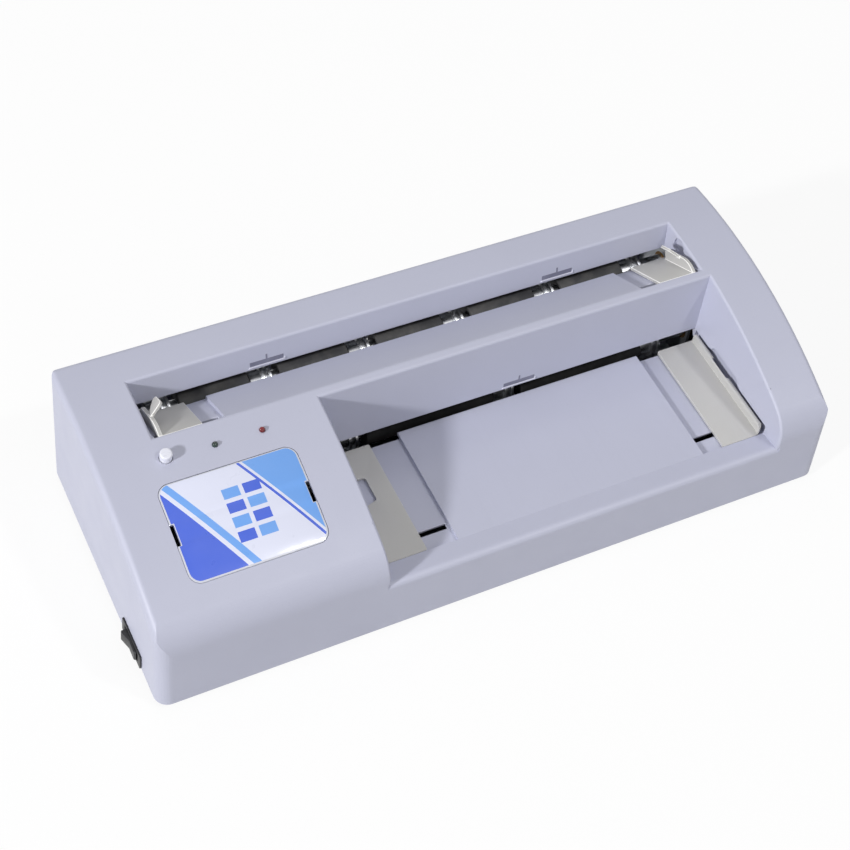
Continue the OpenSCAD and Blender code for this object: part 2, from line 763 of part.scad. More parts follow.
// Space in the lower recess, and the bays and grooves beside its tray
module lower_recess() {
    deep = floor_under - 8;
    lead = 12;
    behind = card_nip[0];
    lean = tan(lower_draft);
    low = lean * (floor_z - deep);
    high = lean * (clear_z - floor_z);
    fc = front_centre();
    lip_z = floor_z + sill_drop;
    lip = [front_y + front_slope * lip_z, lip_z];
    floor_lip = [floor_front, floor_z];
    sill = (floor_lip - lip) / norm(floor_lip - lip);
    back_rim = crown_hit(lower_foot, lower_wall);
    floor_edge = fillet([floor_back, floor_z], [-1, 0], [0, -1], slot_r);
    foot_edge = fillet(lower_foot, [1, 0], lower_wall, slot_r);
    back_edge = lead_out(fillet(back_rim, -lower_wall, crown_back(back_rim), rim_r));
    sill_edge = lead_in(fillet(lip, [-sin(front_lean), -cos(front_lean)], sill, sill_r));
    intersection() {
        along_x(lower_left - half, half)
            polygon(concat(sill_edge, [floor_lip], floor_edge, [[floor_back, deep], [behind, deep]],
                [[behind, lower_foot[1]]], foot_edge, back_edge, [[back_edge[6][0], clear_z]],
                [[lip[0] - lead, clear_z], [lip[0] - lead, sill_edge[0][1]]]));
        union() {
            along_y(front_y - 2 * lead, behind)
                polygon([[lower_left + low, deep], [lower_right - low, deep],
                    [lower_right + high, clear_z], [lower_left - high, clear_z]]);
            for (side = [-1, 1])
                on_side(side) {
                    x = side < 0 ? -lower_left : lower_right;
                    rim_cut([arc_y, arc_z], arc_r, x, floor_z, lower_draft);
                    intersection() {
                        rim_cut(fc, front_r, x, floor_z, lower_draft);
                        block([0, front_y - lead, fc[1] - front_r / 4], [half, fc[0] + rim_r, clear_z]);
                    }
                }
        }
    }
    for (x = [[lower_left - undercut, lower_tray_left], [lower_tray_right, lower_right + undercut]]) {
        block([x[0], floor_front, deep], [x[1], behind, floor_z + 0.1]);
    }
    for (x = [[lower_left - undercut, lower_left + over], [lower_right - over, lower_right + undercut]])
        along_x(x[0], x[1])
            polygon(concat([[floor_front, deep], [floor_back, deep], [floor_back, groove_top]],
                groove_relief(), [[floor_front, groove_top]]));
}

// Arched finger relief in the top edge of the grooves, from back to front
function groove_relief() =
    let (rise_h = 4, r = 3, y0 = notch_y - notch_flare - 3, y1 = notch_y + notch_l + notch_flare)
    concat([[y1 + r, groove_top]],
        arc_points([y1 - r, groove_top + rise_h - r], r, 0, 90, 4),
        arc_points([y0 + r, groove_top + rise_h - r], r, 90, 180, 4),
        [[y0 - r, groove_top]]);

module panel_cuts() {
    deep = 8;
    on_top(button_x, button_y)
        translate([0, 0, -deep])
            cylinder(h = 2 * deep, r = button_r + gap);
    for (x = [green_led_x, red_led_x])
        on_top(x, led_y)
            translate([0, 0, -deep])
                cylinder(h = 2 * deep, r = led_r + fit);
    on_top(plate_x, plate_y) {
        difference() {
            translate([0, 0, -deep])
                linear_extrude(height = 2 * deep)
                    polygon(plate_outline(plate_gap));
            bed(plate_t);
        }
        for (side = [-1, 1])
            translate([side * (plate_w / 2 - clip_in), 0, 0])
                block([-clip_w / 2, -clip_l, -deep], [clip_w / 2, clip_l, deep]);
    }
    for (x = post_x)
        on_top(x, led_y)
            translate([0, 0, -board_depth - over])
                cylinder(h = board_screw[3], r = board_screw[2]);
}

// Outline of the nameplate, grown by a margin
function plate_outline(grow) =
    rounded(-plate_w / 2 - grow, -plate_l / 2 - grow, plate_w / 2 + grow, plate_l / 2 + grow, plate_r + grow);

// Solid under a surface that runs at a depth below the curved top
module bed(depth) {
    translate([0, 0, -arc_r])
        rotate([0, 90, 0])
            cylinder(h = 3 * plate_w, r = arc_r - depth, center = true, $fn = 360);
}

module end_cuts() {
    on_left_face()
        block([-switch_hole[0] / 2, -switch_hole[1] / 2, -2 * wall],
            [switch_hole[0] / 2, switch_hole[1] / 2, wall]);
    translate([inlet_x, 0, inlet_z])
        block([-inlet_body[0] / 2 - plate_gap, back_in - over, -inlet_body[1] / 2 - plate_gap],
            [inlet_body[0] / 2 + plate_gap, back_y + over, inlet_body[1] / 2 + plate_gap]);
    block([-recess_half, back_in - over, strip_exit[0]], [recess_half, back_y + over, strip_exit[1]]);
    block([lower_left + 7.6, back_in - over, card_exit_z],
        [lower_right - 5.4, back_y + over, card_exit_z + card_exit_h]);
    for (p = boss_at)
        translate([p[0], p[1], -over])
            cylinder(h = cover_screw[3] + 2 * over, r = cover_screw[2] + thread);
}

module inner_bosses() {
    for (p = boss_at)
        translate([p[0], p[1], base_t])
            cylinder(h = boss_h, r = boss_r);
    for (x = post_x)
        on_top(x, led_y)
            translate([0, 0, -board_depth])
                cylinder(h = board_depth - over, r = post_r);
}

module top_cover() {
    color(housing_grey)
        lift()
            difference() {
                union() {
                    difference() {
                        outer();
                        inner_space();
                    }
                    intersection() {
                        outer();
                        union() {
                            upper_tub();
                            lower_tub();
                            inner_bosses();
                        }
                    }
                }
                upper_recess();
                lower_recess();
                panel_cuts();
                end_cuts();
            }
}

module base_plate() {
    edge = 3.5;
    vent = [4, 36];
    vent_pitch = 10;
    color(steel)
        lift()
            difference() {
                linear_extrude(height = base_t)
                    polygon(rounded(edge - half, front_y + edge, half - edge, back_y - edge, 5));
                for (p = concat(boss_at, foot_at, flange_screw_at))
                    translate([p[0], p[1], -over])
                        cylinder(h = base_t + 2 * over, r = small_screw[2] + plate_gap);
                for (i = [0:5])
                    translate([gearbox_x - 9 + i * vent_pitch, motor_at[0] - vent[1] / 2, -over])
                        cube([vent[0], vent[1], base_t + 2 * over]);
            }
}

module rubber_feet() {
    color(rubber_grey)
        for (p = foot_at)
            translate([p[0], p[1], 0])
                difference() {
                    cylinder(h = foot_h, r1 = foot_tread_r, r2 = foot_r);
                    translate([0, 0, -over])
                        cylinder(h = foot_well_h + over, r = foot_well_r);
                    cylinder(h = foot_h + over, r = small_screw[2] + plate_gap);
                }
}

// Screw with its head down and a cross recess
module pan_screw(size) {
    arm = size[0] * 0.62;
    slot = 0.35;
    depth = size[1] / 2;
    difference() {
        union() {
            cylinder(h = size[1], r = size[0]);
            cylinder(h = size[1] + size[3], r = size[2]);
        }
        block([-arm, -slot, -over], [arm, slot, depth]);
        block([-slot, -arm, -over], [slot, arm, depth]);
    }
}

module foot_screws() {
    color(steel)
        for (p = foot_at)
            translate([p[0], p[1], foot_well_h - small_screw[1]])
                pan_screw(small_screw);
}

module cover_screws() {
    color(steel)
        for (p = boss_at)
            translate([p[0], p[1], foot_h - cover_screw[1]])
                pan_screw(cover_screw);
}

// Outline of a side frame from its front to its back, under the curved top
function frame_outline(front, front_z) =
    let (n = 14, r = arc_r - wall - frame_top_gap, y0 = front + 3, y1 = frame_back - 2)
    concat([[front, base_t], [frame_back, base_t], [frame_back, arc_z + rise(r, y1 - arc_y) - 8]],
        [for (i = [0:n]) let (y = y1 + (y0 - y1) * i / n) [y, arc_z + rise(r, y - arc_y)]],
        [[front, front_z]]);

module frame_holes(x0, x1) {
    for (p = shafts)
        rod(x0, x1, p, bush_r);
    for (p = tie_at)
        rod(x0, x1, p, tie_screw_r + thread);
}

module flange_holes() {
    for (p = flange_screw_at)
        translate([p[0], p[1], 0])
            cylinder(h = base_t + flange_t + over, r = small_screw[2] + thread);
}

module left_frame() {
    color(steel)
        lift()
            difference() {
                union() {
                    along_x(-frame_out, -frame_in)
                        polygon(frame_outline(left_frame_front, motor_at[1] + gearbox_r / 2));
                    block([-frame_in - over, lower_foot[0] - 8, base_t],
                        [flange_w - frame_in, frame_back - 4, base_t + flange_t]);
                }
                frame_holes(-frame_out - over, -frame_in + over);
                rod(-frame_out - over, -frame_in + over, motor_at, motor_shaft_r + 5);
                for (p = [drive_at, idler_at])
                    rod(-frame_out - over, -frame_in + over, p, stud_end_r);
                for (p = gearbox_screw_at)
                    rod(-frame_out - over, -frame_in + over, p, gearbox_screw[2] + thread);
                flange_holes();
            }
}

module right_frame() {
    color(steel)
        lift()
            difference() {
                union() {
                    along_x(frame_in, frame_out)
                        polygon(frame_outline(right_frame_front, card_upper[1] + gear_span));
                    block([frame_in - flange_w, right_frame_front + 1, base_t],
                        [frame_in + over, frame_back - 4, base_t + flange_t]);
                }
                frame_holes(frame_in - over, frame_out + over);
                flange_holes();
            }
}

module tie_bars() {
    depth = tie_screw_l + over;
    color(steel)
        lift()
            for (p = tie_at)
                difference() {
                    rod(-frame_in, frame_in, p, tie_r);
                    rod(-frame_in - over, depth - frame_in, p, tie_screw_r + thread);
                    rod(frame_in - depth, frame_in + over, p, tie_screw_r + thread);
                }
}

module frame_screws() {
    color(dark_steel)
        lift() {
            for (p = flange_screw_at)
                translate([p[0], p[1], -small_screw[1]])
                    pan_screw(small_screw);
            for (p = tie_at, side = [-1, 1])
                on_side(side)
                    translate([frame_out + tie_screw[1], p[0], p[1]])
                        rotate([0, -90, 0])
                            pan_screw(tie_screw);
        }
}

module shaft_bushes() {
    color(bronze)
        lift()
            for (p = shafts, side = [-1, 1])
                on_side(side)
                    difference() {
                        union() {
                            rod(frame_in, frame_out, p, bush_r);
                            rod(frame_out, frame_out + bush_flange_t, p, bush_flange_r);
                        }
                        rod(frame_in - over, frame_out + bush_flange_t + over, p, shaft_r + fit);
                    }
}

module strip_exit_chute() {
    y0 = strip_chute_start;
    z0 = tray_z - tray_tan * (y0 - tray_y) - strip_chute_drop;
    z1 = tray_z - tray_tan * (chute_end - tray_y) - strip_chute_drop;
    color(steel)
        lift()
            along_x(-frame_in, frame_in)
                polygon([[y0, z0], [chute_end, z1], [chute_end, z1 - chute_t], [y0, z0 - chute_t]]);
}

module card_exit_chute() {
    y0 = card_chute_start;
    y1 = chute_leg_y[0];
    y2 = chute_leg_y[1];
    color(steel)
        lift() {
            along_x(lower_left + 1.6, frame_in)
                polygon([[y0, card_chute(y0)], [chute_end, card_chute(chute_end)],
                    [chute_end, card_chute(chute_end) - chute_t], [y0, card_chute(y0) - chute_t]]);
            for (x = [lower_left + 3.6, lower_right - 33.4])
                along_x(x, x + chute_t)
                    polygon([[y1, base_t], [y2, base_t], [y2, card_chute(y2) - chute_t / 2],
                        [y1, card_chute(y1) - chute_t / 2]]);
        }
}

// Floor plate of the upper bays with the slots for the guide tongues
module upper_guide_plate() {
    start = 2.8;
    slot = [upper_tray_half + 1.9, recess_half - 0.7];
    color(housing_grey)
        lift()
            on_tray()
                difference() {
                    block([-recess_half, start, -skin - bay_plate_t], [recess_half, tray_l + 1.3, -skin]);
                    for (side = [-1, 1])
                        on_side(side)
                            block([slot[0], upper_tongue_s, -skin - bay_plate_t - over],
                                [slot[1], upper_tongue_s + tongue_slot, 0]);
                }
}

// Floor plate of the lower bays with the slots for the guide tongues
module lower_guide_plate() {
    inset = 0.4;
    edge = 1.4;
    left = [lower_left + inset, lower_tray_left - edge];
    right = [lower_tray_right + edge, lower_right - inset];
    color(housing_grey)
        lift()
            difference() {
                block([lower_left - lower_tub_wall + inset, floor_front - 6.5, floor_under - bay_plate_t],
                    [lower_right + lower_tub_wall - inset, floor_back - 3, floor_under]);
                for (x = [left, right])
                    block([x[0], lower_tongue_y, floor_under - bay_plate_t - over],
                        [x[1], lower_tongue_y + tongue_slot, floor_under + over]);
            }
}

// Outline of the upper lip down the slope: a round rise, a level top and a round end
function upper_lip() =
    let (
        run = 9.7,
        end_r = 2,
        s0 = upper_guide_s[0],
        s1 = upper_guide_s[1] - 2.7,
        z0 = guide_low + guide_t / 2,
        h = lip_h + 0.5 - guide_low - guide_t,
        r = (run * run + h * h) / (2 * h),
        top = lip_h + 0.5
    )
    concat([[s1, z0]], arc_points([s1 - end_r, top - end_r], end_r, 0, 90, 4),
        arc_points([s0 + run, top - r], r, 90, 90 + asin(run / r), 6), [[s0, z0]]);

// Leaf on the lip, as points up the leaf and down the slope
function flap_leaf() =
    let (root = -1.2, tip = 7.8, r = 1.4)
    concat([[root, 13], [tip - 2 * r, 13.2]],
        arc_points([tip - r, 13.4 + r], r, -80, 0, 4),
        arc_points([tip - r, 22 - r], r, 0, 90, 4),
        [[5.4, 22], [root, 16.2]]);

// Guide of the upper recess
module upper_guide(side) {
    x1 = upper_guide_end;
    x0 = x1 - upper_guide_w;
    s = upper_guide_s;
    tongue_s = upper_tongue_s + (tongue_slot - tongue_t) / 2;
    tongue_low = -skin - bay_plate_t - keeper_gap;
    color(guide_beige)
        lift()
            on_side(side)
                on_tray() {
                    block([x0, s[0], guide_low], [x1, s[1], guide_low + guide_t]);
                    block([x0 + tongue_inset, tongue_s, tongue_low],
                        [x0 + tongue_inset + tongue_w, tongue_s + tongue_t, guide_low + 0.1]);
                    along_x(x1 - upper_lip_t, x1)
                        polygon(upper_lip());
                    translate([x1 - upper_lip_t, 0, lip_h + 0.5])
                        rotate([0, 180 + flap_angle, 0])
                            linear_extrude(height = flap_t, center = true)
                                polygon(flap_leaf());
                }
}

module upper_left_guide() {
    upper_guide(-1);
}

module upper_right_guide() {
    upper_guide(1);
}

// Guide of the lower recess, drawn from its outer edge at X 0 inwards to negative X
module lower_guide(at_x, side, notch) {
    low = lower_guide_z;
    top = low + guide_t;
    y0 = lower_guide_y[0];
    y1 = lower_guide_y[1];
    edge_r = 1.2;
    front_corner = 4.5;
    tongue_y = lower_tongue_y + (tongue_slot - tongue_t) / 2;
    tongue_low = floor_under - bay_plate_t - keeper_gap;
    tongue_x = tongue_inset - lower_guide_w;
    lip_profile = concat([[-lip_t, low + guide_t / 2], [0, low + guide_t / 2]],
        arc_points([-edge_r, top + lip_h - edge_r], edge_r, 0, 90, 4),
        arc_points([edge_r - lip_t, top + lip_h - edge_r], edge_r, 90, 180, 4));
    color(guide_beige)
        lift()
            translate([at_x, 0, 0])
                on_side(side)
                    difference() {
                        union() {
                            translate([0, 0, low])
                                linear_extrude(height = guide_t)
                                    polygon(rounded(-lower_guide_w, y0, 0, y1, 0.8, 3));
                            along_y(y0, y1 - 0.4)
                                polygon(lip_profile);
                            block([tongue_x, tongue_y, tongue_low],
                                [tongue_x + tongue_w, tongue_y + tongue_t, low + 0.1]);
                        }
                        translate([0, 0, low - over])
                            linear_extrude(height = guide_t + lip_h + 2 * over)
                                polygon(notch_outline(notch));
                        translate([0, y0, low - over])
                            linear_extrude(height = guide_t + lip_h + 2 * over)
                                polygon(concat([[over, -over], [over, front_corner]],
                                    arc_points([-front_corner, front_corner], front_corner, 0, -90, 5),
                                    [[-front_corner, -over]]));
                        lip_front(y0, top);
                    }
}

// Finger notch in the outer edge, wider outside than inside, with round inner corners
function notch_outline(depth) =
    let (
        r = min(1.5, depth / 2),
        y0 = notch_y,
        y1 = notch_y + notch_l,
        out = notch_flare * min(1, depth / lip_t)
    )
    concat([[over, y0 - out]], arc_points([r - depth, y0 + r], r, 270, 180, 4),
        arc_points([r - depth, y1 - r], r, 180, 90, 4), [[over, y1 + out / 4]]);

// Cutter that rounds the lip down to the plate at its front end
module lip_front(y0, top) {
    along_x(-lip_t - 0.1, over)
        polygon(concat([[y0 - over, top + lip_h + over], [y0 - over, top]],
            arc_points([y0 + lip_h, top], lip_h, 180, 90, 6), [[y0 + lip_h, top + lip_h + over]]));
}

module lower_left_guide() {
    lower_guide(left_guide_end, -1, left_notch);
}

module lower_right_guide() {
    lower_guide(right_guide_end, 1, right_notch);
}

// Plate that holds a guide tongue under the bay floor
module keeper_plate() {
    size = [tongue_w + 1, tongue_slot + 3.2];
    translate([-size[0] / 2, -size[1] / 2, -keeper_t])
        cube([size[0], size[1], keeper_t]);
}

module upper_keeper(side) {
    x = upper_guide_end - upper_guide_w + tongue_inset + tongue_w / 2;
    color(dark_steel)
        lift()
            on_side(side)
                on_tray()
                    translate([x, upper_tongue_s + tongue_slot / 2, -skin - bay_plate_t - keeper_gap])
                        keeper_plate();
}

module upper_left_keeper() {
    upper_keeper(-1);
}

module upper_right_keeper() {
    upper_keeper(1);
}

module lower_keeper(guide_end, side) {
    inner = lower_guide_w - tongue_inset - tongue_w / 2;
    top = floor_under - bay_plate_t - keeper_gap;
    color(dark_steel)
        lift()
            translate([guide_end - side * inner, lower_tongue_y + tongue_slot / 2, top])
                keeper_plate();
}

module lower_left_keeper() {
    lower_keeper(left_guide_end, -1);
}

module lower_right_keeper() {
    lower_keeper(right_guide_end, 1);
}

module nameplate() {
    deep = 8;
    film_low = 0.1;
    clip_x = plate_w / 2 - clip_in - clip_w / 2;
    color(film_blue)
        lift()
            on_top(plate_x, plate_y)
                difference() {
                    intersection() {
                        translate([0, 0, -deep])
                            linear_extrude(height = 2 * deep)
                                polygon(plate_outline(0));
                        bed(film_low);
                    }
                    bed(plate_t);
                    for (side = [-1, 1])
                        on_side(side)
                            block([clip_x, -clip_l, -deep], [plate_w, clip_l, deep]);
                }
}

module push_button() {
    low = -wall - button_flange_t - gap - 0.1;
    top = button_proud;
    edge = button_edge;
    color(button_white)
        lift()
            on_top(button_x, button_y)
                rotate_extrude()
                    polygon(concat([[0, low], [button_flange_r, low]],
                        [[button_flange_r, low + button_flange_t], [button_r, low + button_flange_t]],
                        arc_points([button_r - edge, top - edge], edge, 0, 90, 5), [[0, top]]));
}

module push_plunger() {
    top = -wall - button_flange_t - gap - 0.1;
    color(nylon)
        lift()
            on_top(button_x, button_y)
                translate([0, 0, -plunger_depth])
                    cylinder(h = plunger_depth + top, r = plunger_r);
}

module push_switch() {
    w = push_switch_w / 2;
    well = 3;
    color(black)
        lift()
            on_top(button_x, button_y)
                difference() {
                    block([-w, -w, 0.1 - board_depth], [w, w, -push_switch_top]);
                    translate([0, 0, well - board_depth])
                        cylinder(h = board_depth, r = plunger_r + 0.1);
                }
}

module control_board() {
    color(board_green)
        lift()
            on_top(0, led_y)
                difference() {
                    block([board_x, -board_l / 2, -board_depth - board_t],
                        [board_x + board_w, board_l / 2, -board_depth]);
                    for (x = post_x)
                        translate([x, 0, -board_depth - board_t - over])
                            cylinder(h = board_t + 2 * over, r = board_screw[2] + 0.1);
                }
}

module board_screws() {
    color(steel)
        lift()
            for (x = post_x)
                on_top(x, led_y)
                    translate([0, 0, -board_depth - board_t - board_screw[1]])
                        pan_screw(board_screw);
}

// Lamp that stands on the board and ends in a dome over the top
module lamp(x) {
    dome_z = 0.4;
    rim = 0.4;
    lift()
        on_top(x, led_y)
            union() {
                translate([0, 0, -board_depth])
                    cylinder(h = board_depth + dome_z, r = led_r);
                translate([0, 0, dome_z])
                    sphere(r = led_r - 0.01);
                translate([0, 0, -board_depth])
                    cylinder(h = over, r = led_r + rim);
            }
}

module green_led() {
    color(lens_green)
        lamp(green_led_x);
}

module red_led() {
    color(lens_red)
        lamp(red_led_x);
}

module switch_body() {
    bezel_t = 1;
    tab = [0.8, 4.4, 7];
    well = rocker_w / 2 + 0.35;
    well_l = rocker_l / 2 + 2;
    color(black)
        lift()
            on_left_face()
                difference() {
                    union() {
                        linear_extrude(height = bezel_t)
                            polygon(rounded(-bezel_h / 2, -bezel_l / 2, bezel_h / 2, bezel_l / 2, 0.8, 3));
                        block([-switch_case[0] / 2, -switch_case[1] / 2, -switch_case[2]],
                            [switch_case[0] / 2, switch_case[1] / 2, bezel_t / 2]);
                        for (y = [-6, 0, 6])
                            translate([-tab[0] / 2, y - tab[1] / 2, -switch_case[2] - tab[2]])
                                cube(tab + [0, 0, over]);
                    }
                    block([-well, -well_l, -rocker_well], [well, well_l, bezel_t + over]);
                    rod(-rocker_w, rocker_w, [0, -rocker_pivot], rocker_pin_r + fit);
                }
}

module rocker() {
    tip = rocker_l / 2;
    pin = rocker_w / 2 + 0.7;
    color(black)
        lift()
            on_left_face()
                translate([0, 0, -rocker_pivot])
                    rotate([rocker_tilt, 0, 0])
                        union() {
                            along_x(-rocker_w / 2, rocker_w / 2)
                                polygon([[-tip, 0.5], [-2, -3.5], [2, -3.5], [tip, 0.5], [tip + 0.3, 5.6],
                                    [tip - 0.6, 6.2], [0, 5.2], [0.6 - tip, 6.2], [-tip - 0.3, 5.6]]);
                            rod(-pin, pin, [0, 0], rocker_pin_r);
                        }
}

// Mains inlet with a five sided well that narrows to the top
module power_inlet() {
    w = inlet_well[0] / 2;
    h = inlet_well[1] / 2;
    cut = 4.7;
    color(black)
        lift()
            translate([inlet_x, 0, inlet_z])
                difference() {
                    union() {
                        along_y(back_y, back_y + inlet_flange[2])
                            polygon(rounded(-inlet_flange[0] / 2, -inlet_flange[1] / 2,
                                inlet_flange[0] / 2, inlet_flange[1] / 2, 2, 4));
                        block([-inlet_body[0] / 2, back_y - inlet_depth, -inlet_body[1] / 2],
                            [inlet_body[0] / 2, back_y + inlet_flange[2] / 2, inlet_body[1] / 2]);
                    }
                    along_y(back_y - inlet_depth + inlet_floor, back_y + 2 * inlet_flange[2])
                        polygon([[-w, -h], [w, -h], [w, h - cut], [w - cut, h], [cut - w, h], [-w, h - cut]]);
                }
}

module inlet_pins() {
    floor_y = back_y - inlet_depth + inlet_floor;
    color(steel)
        lift()
            translate([inlet_x - inlet_pin[0] / 2, floor_y, inlet_z]) {
                for (x = [-inlet_pin_pitch, inlet_pin_pitch])
                    translate([x, 0, -inlet_pin[1] - 1])
                        cube([inlet_pin[0], inlet_pin[2], inlet_pin[1]]);
                translate([0, 0, -1])
                    cube([inlet_pin[0], inlet_pin[2] + 1, inlet_pin[1]]);
            }
}

module drive_motor() {
    end_boss = [9, 5];
    color(dark_steel)
        lift() {
            rod(gearbox_x, motor_x, motor_at, motor_r);
            rod(motor_x - over, motor_x + end_boss[1], motor_at, end_boss[0]);
        }
}

module gearbox() {
    color(steel)
        lift()
            difference() {
                rod(-frame_in, gearbox_x, motor_at, gearbox_r);
                rod(-frame_in - over, gearbox_x - 5, motor_at, motor_shaft_r + fit);
                for (p = gearbox_screw_at)
                    rod(-frame_in - over, gearbox_screw[3] - frame_in, p, gearbox_screw[2] + thread);
            }
}

module gearbox_screws() {
    color(dark_steel)
        lift()
            for (p = gearbox_screw_at)
                translate([-frame_out - gearbox_screw[1], p[0], p[1]])
                    rotate([0, 90, 0])
                        pan_screw(gearbox_screw);
}

module motor_shaft() {
    color(steel)
        lift()
            rod(gear_x0 - gear_hub_w - 0.5, gearbox_x - 6, motor_at, motor_shaft_r);
}

// Spur gear with a hub on its outer side
module gear(teeth, phase, at, bore, hub) {
    lift()
        difference() {
            union() {
                along_x(gear_x0, gear_x1)
                    translate(at)
                        polygon(gear_points(teeth, phase));
                rod(gear_x0 - gear_hub_w, gear_x0 + over, at, hub);
            }
            rod(gear_x0 - 2 * gear_hub_w, gear_x1 + over, at, bore);
        }
}

module motor_pinion() {
    color(steel)
        gear(pinion_teeth, pinion_phase, motor_at, motor_shaft_r, motor_shaft_r + 1.3);
}

module drive_gear() {
    hole_r = 3.2;
    hole_circle = 12;
    color(nylon)
        difference() {
            gear(drive_teeth, drive_phase, drive_at, loose_bore, loose_bore + 3.45);
            lift()
                for (a = [0:60:300])
                    rod(gear_x0 - over, gear_x1 + over, drive_at + hole_circle * [cos(a), sin(a)], hole_r);
        }
}

// Shoulder screw that a loose gear turns on
module gear_stud(at) {
    head_x = gear_x0 - gear_hub_w - 0.4;
    color(steel)
        lift() {
            rod(head_x - stud_head_t, head_x, at, stud_head_r);
            rod(head_x - plate_gap, -frame_out, at, stud_r);
            rod(-frame_out - plate_gap, -frame_in, at, stud_end_r);
        }
}

module drive_gear_stud() {
    gear_stud(drive_at);
}

module idler_gear() {
    color(nylon)
        gear(idler_teeth, idler_phase, idler_at, loose_bore, loose_bore + 3.45);
}

module idler_stud() {
    gear_stud(idler_at);
}

// Shaft with a collar inside the left frame
module shaft(at) {
    collar = [0.4, 3];
    color(steel)
        lift() {
            rod(gear_x0 - gear_hub_w - 0.5, shaft_end, at, shaft_r);
            rod(collar[0] - frame_in, collar[1] - frame_in, at, shaft_r + 1.2);
        }
}

module strip_upper_shaft() {
    shaft(strip_upper);
}

module strip_lower_shaft() {
    shaft(strip_lower);
}

module card_upper_shaft() {
    shaft(card_upper);
}

module card_lower_shaft() {
    shaft(card_lower);
}

module shaft_gear(phase, at) {
    color(nylon)
        gear(shaft_teeth, phase, at, shaft_r, shaft_r + 2.4);
}

module strip_upper_gear() {
    shaft_gear(strip_upper_phase, strip_upper);
}

module strip_lower_gear() {
    shaft_gear(strip_lower_phase, strip_lower);
}

module card_upper_gear() {
    shaft_gear(card_upper_phase, card_upper);
}

module card_lower_gear() {
    shaft_gear(lower_phase, card_lower);
}

// Single disc with its hub on the right
module upper_discs(at, stations) {
    near = disc_gap / 2;
    color(steel)
        lift()
            for (x = stations)
                difference() {
                    union() {
                        rod(x + near, x + near + disc_t, at, disc_r);
                        rod(x + near + disc_t / 2, x + near + disc_t + hub_w, at, hub_r);
                    }
                    rod(x - over, x + 2 * hub_w + over, at, shaft_r);
                }
}

// Pair of discs that the single disc runs between, hub on the left
module lower_discs(at, stations) {
    near = -disc_gap / 2;
    far = 1.5 * disc_gap + disc_t;
    color(steel)
        lift()
            for (x = stations)
                difference() {
                    union() {
                        rod(x + near - disc_t, x + near, at, disc_r);
                        rod(x + far, x + far + disc_t, at, disc_r);
                        rod(x + near - disc_t - hub_w, x + far + disc_t / 2, at, hub_r);
                    }
                    rod(x - 2 * hub_w - over, x + 2 * hub_w, at, shaft_r);
                }
}

// Rubber sleeves between the stations
module rollers(at, stations) {
    color(rubber_grey)
        lift()
            for (i = [0:len(stations) - 2])
                difference() {
                    rod(stations[i] + roller_clear, stations[i + 1] - roller_clear, at, roller_r);
                    rod(stations[i], stations[i + 1], at, shaft_r);
                }
}

module strip_upper_discs() {
    upper_discs(strip_upper, strip_stations);
}

module strip_lower_discs() {
    lower_discs(strip_lower, strip_stations);
}

module card_upper_discs() {
    upper_discs(card_upper, card_stations);
}

module card_lower_discs() {
    lower_discs(card_lower, card_stations);
}

module strip_upper_rollers() {
    rollers(strip_upper, strip_stations);
}

module strip_lower_rollers() {
    rollers(strip_lower, strip_stations);
}

module card_upper_rollers() {
    rollers(card_upper, card_stations);
}

module card_lower_rollers() {
    rollers(card_lower, card_stations);
}

// Closed supply between the front wall and the gearbox
module power_supply() {
    x0 = 7 - frame_in;
    size = [66, 24.5];
    front = front_y + wall + 3.4;
    back = left_frame_front - over;
    vents = 7;
    vent_w = 4;
    pitch = size[0] / vents - 0.8;
    color(supply_grey)
        lift()
            difference() {
                block([x0, front, base_t], [x0 + size[0], back, base_t + size[1]]);
                for (i = [0:vents - 1])
                    translate([x0 + vent_w + i * pitch, (front + back) / 2, base_t + size[1] - 6])
                        cube([vent_w, back - front, 3]);
            }
}

top_cover();
base_plate();
rubber_feet();
foot_screws();
cover_screws();
left_frame();
right_frame();
tie_bars();
frame_screws();
shaft_bushes();
strip_exit_chute();
card_exit_chute();
upper_guide_plate();
lower_guide_plate();
upper_left_guide();
upper_right_guide();
lower_left_guide();
lower_right_guide();
upper_left_keeper();
upper_right_keeper();
lower_left_keeper();
lower_right_keeper();
nameplate();
push_button();
push_plunger();
push_switch();
control_board();
board_screws();
green_led();
red_led();
switch_body();
rocker();
power_inlet();
inlet_pins();
drive_motor();
gearbox();
gearbox_screws();
motor_shaft();
motor_pinion();
drive_gear();
drive_gear_stud();
idler_gear();
idler_stud();
strip_upper_shaft();
strip_lower_shaft();
card_upper_shaft();
card_lower_shaft();
strip_upper_gear();
strip_lower_gear();
card_upper_gear();
card_lower_gear();
strip_upper_discs();
strip_lower_discs();
card_upper_discs();
card_lower_discs();
strip_upper_rollers();
strip_lower_rollers();
card_upper_rollers();
card_lower_rollers();
power_supply();
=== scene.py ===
import json
import math

import bmesh
import bpy
from mathutils import Euler, Matrix, Vector

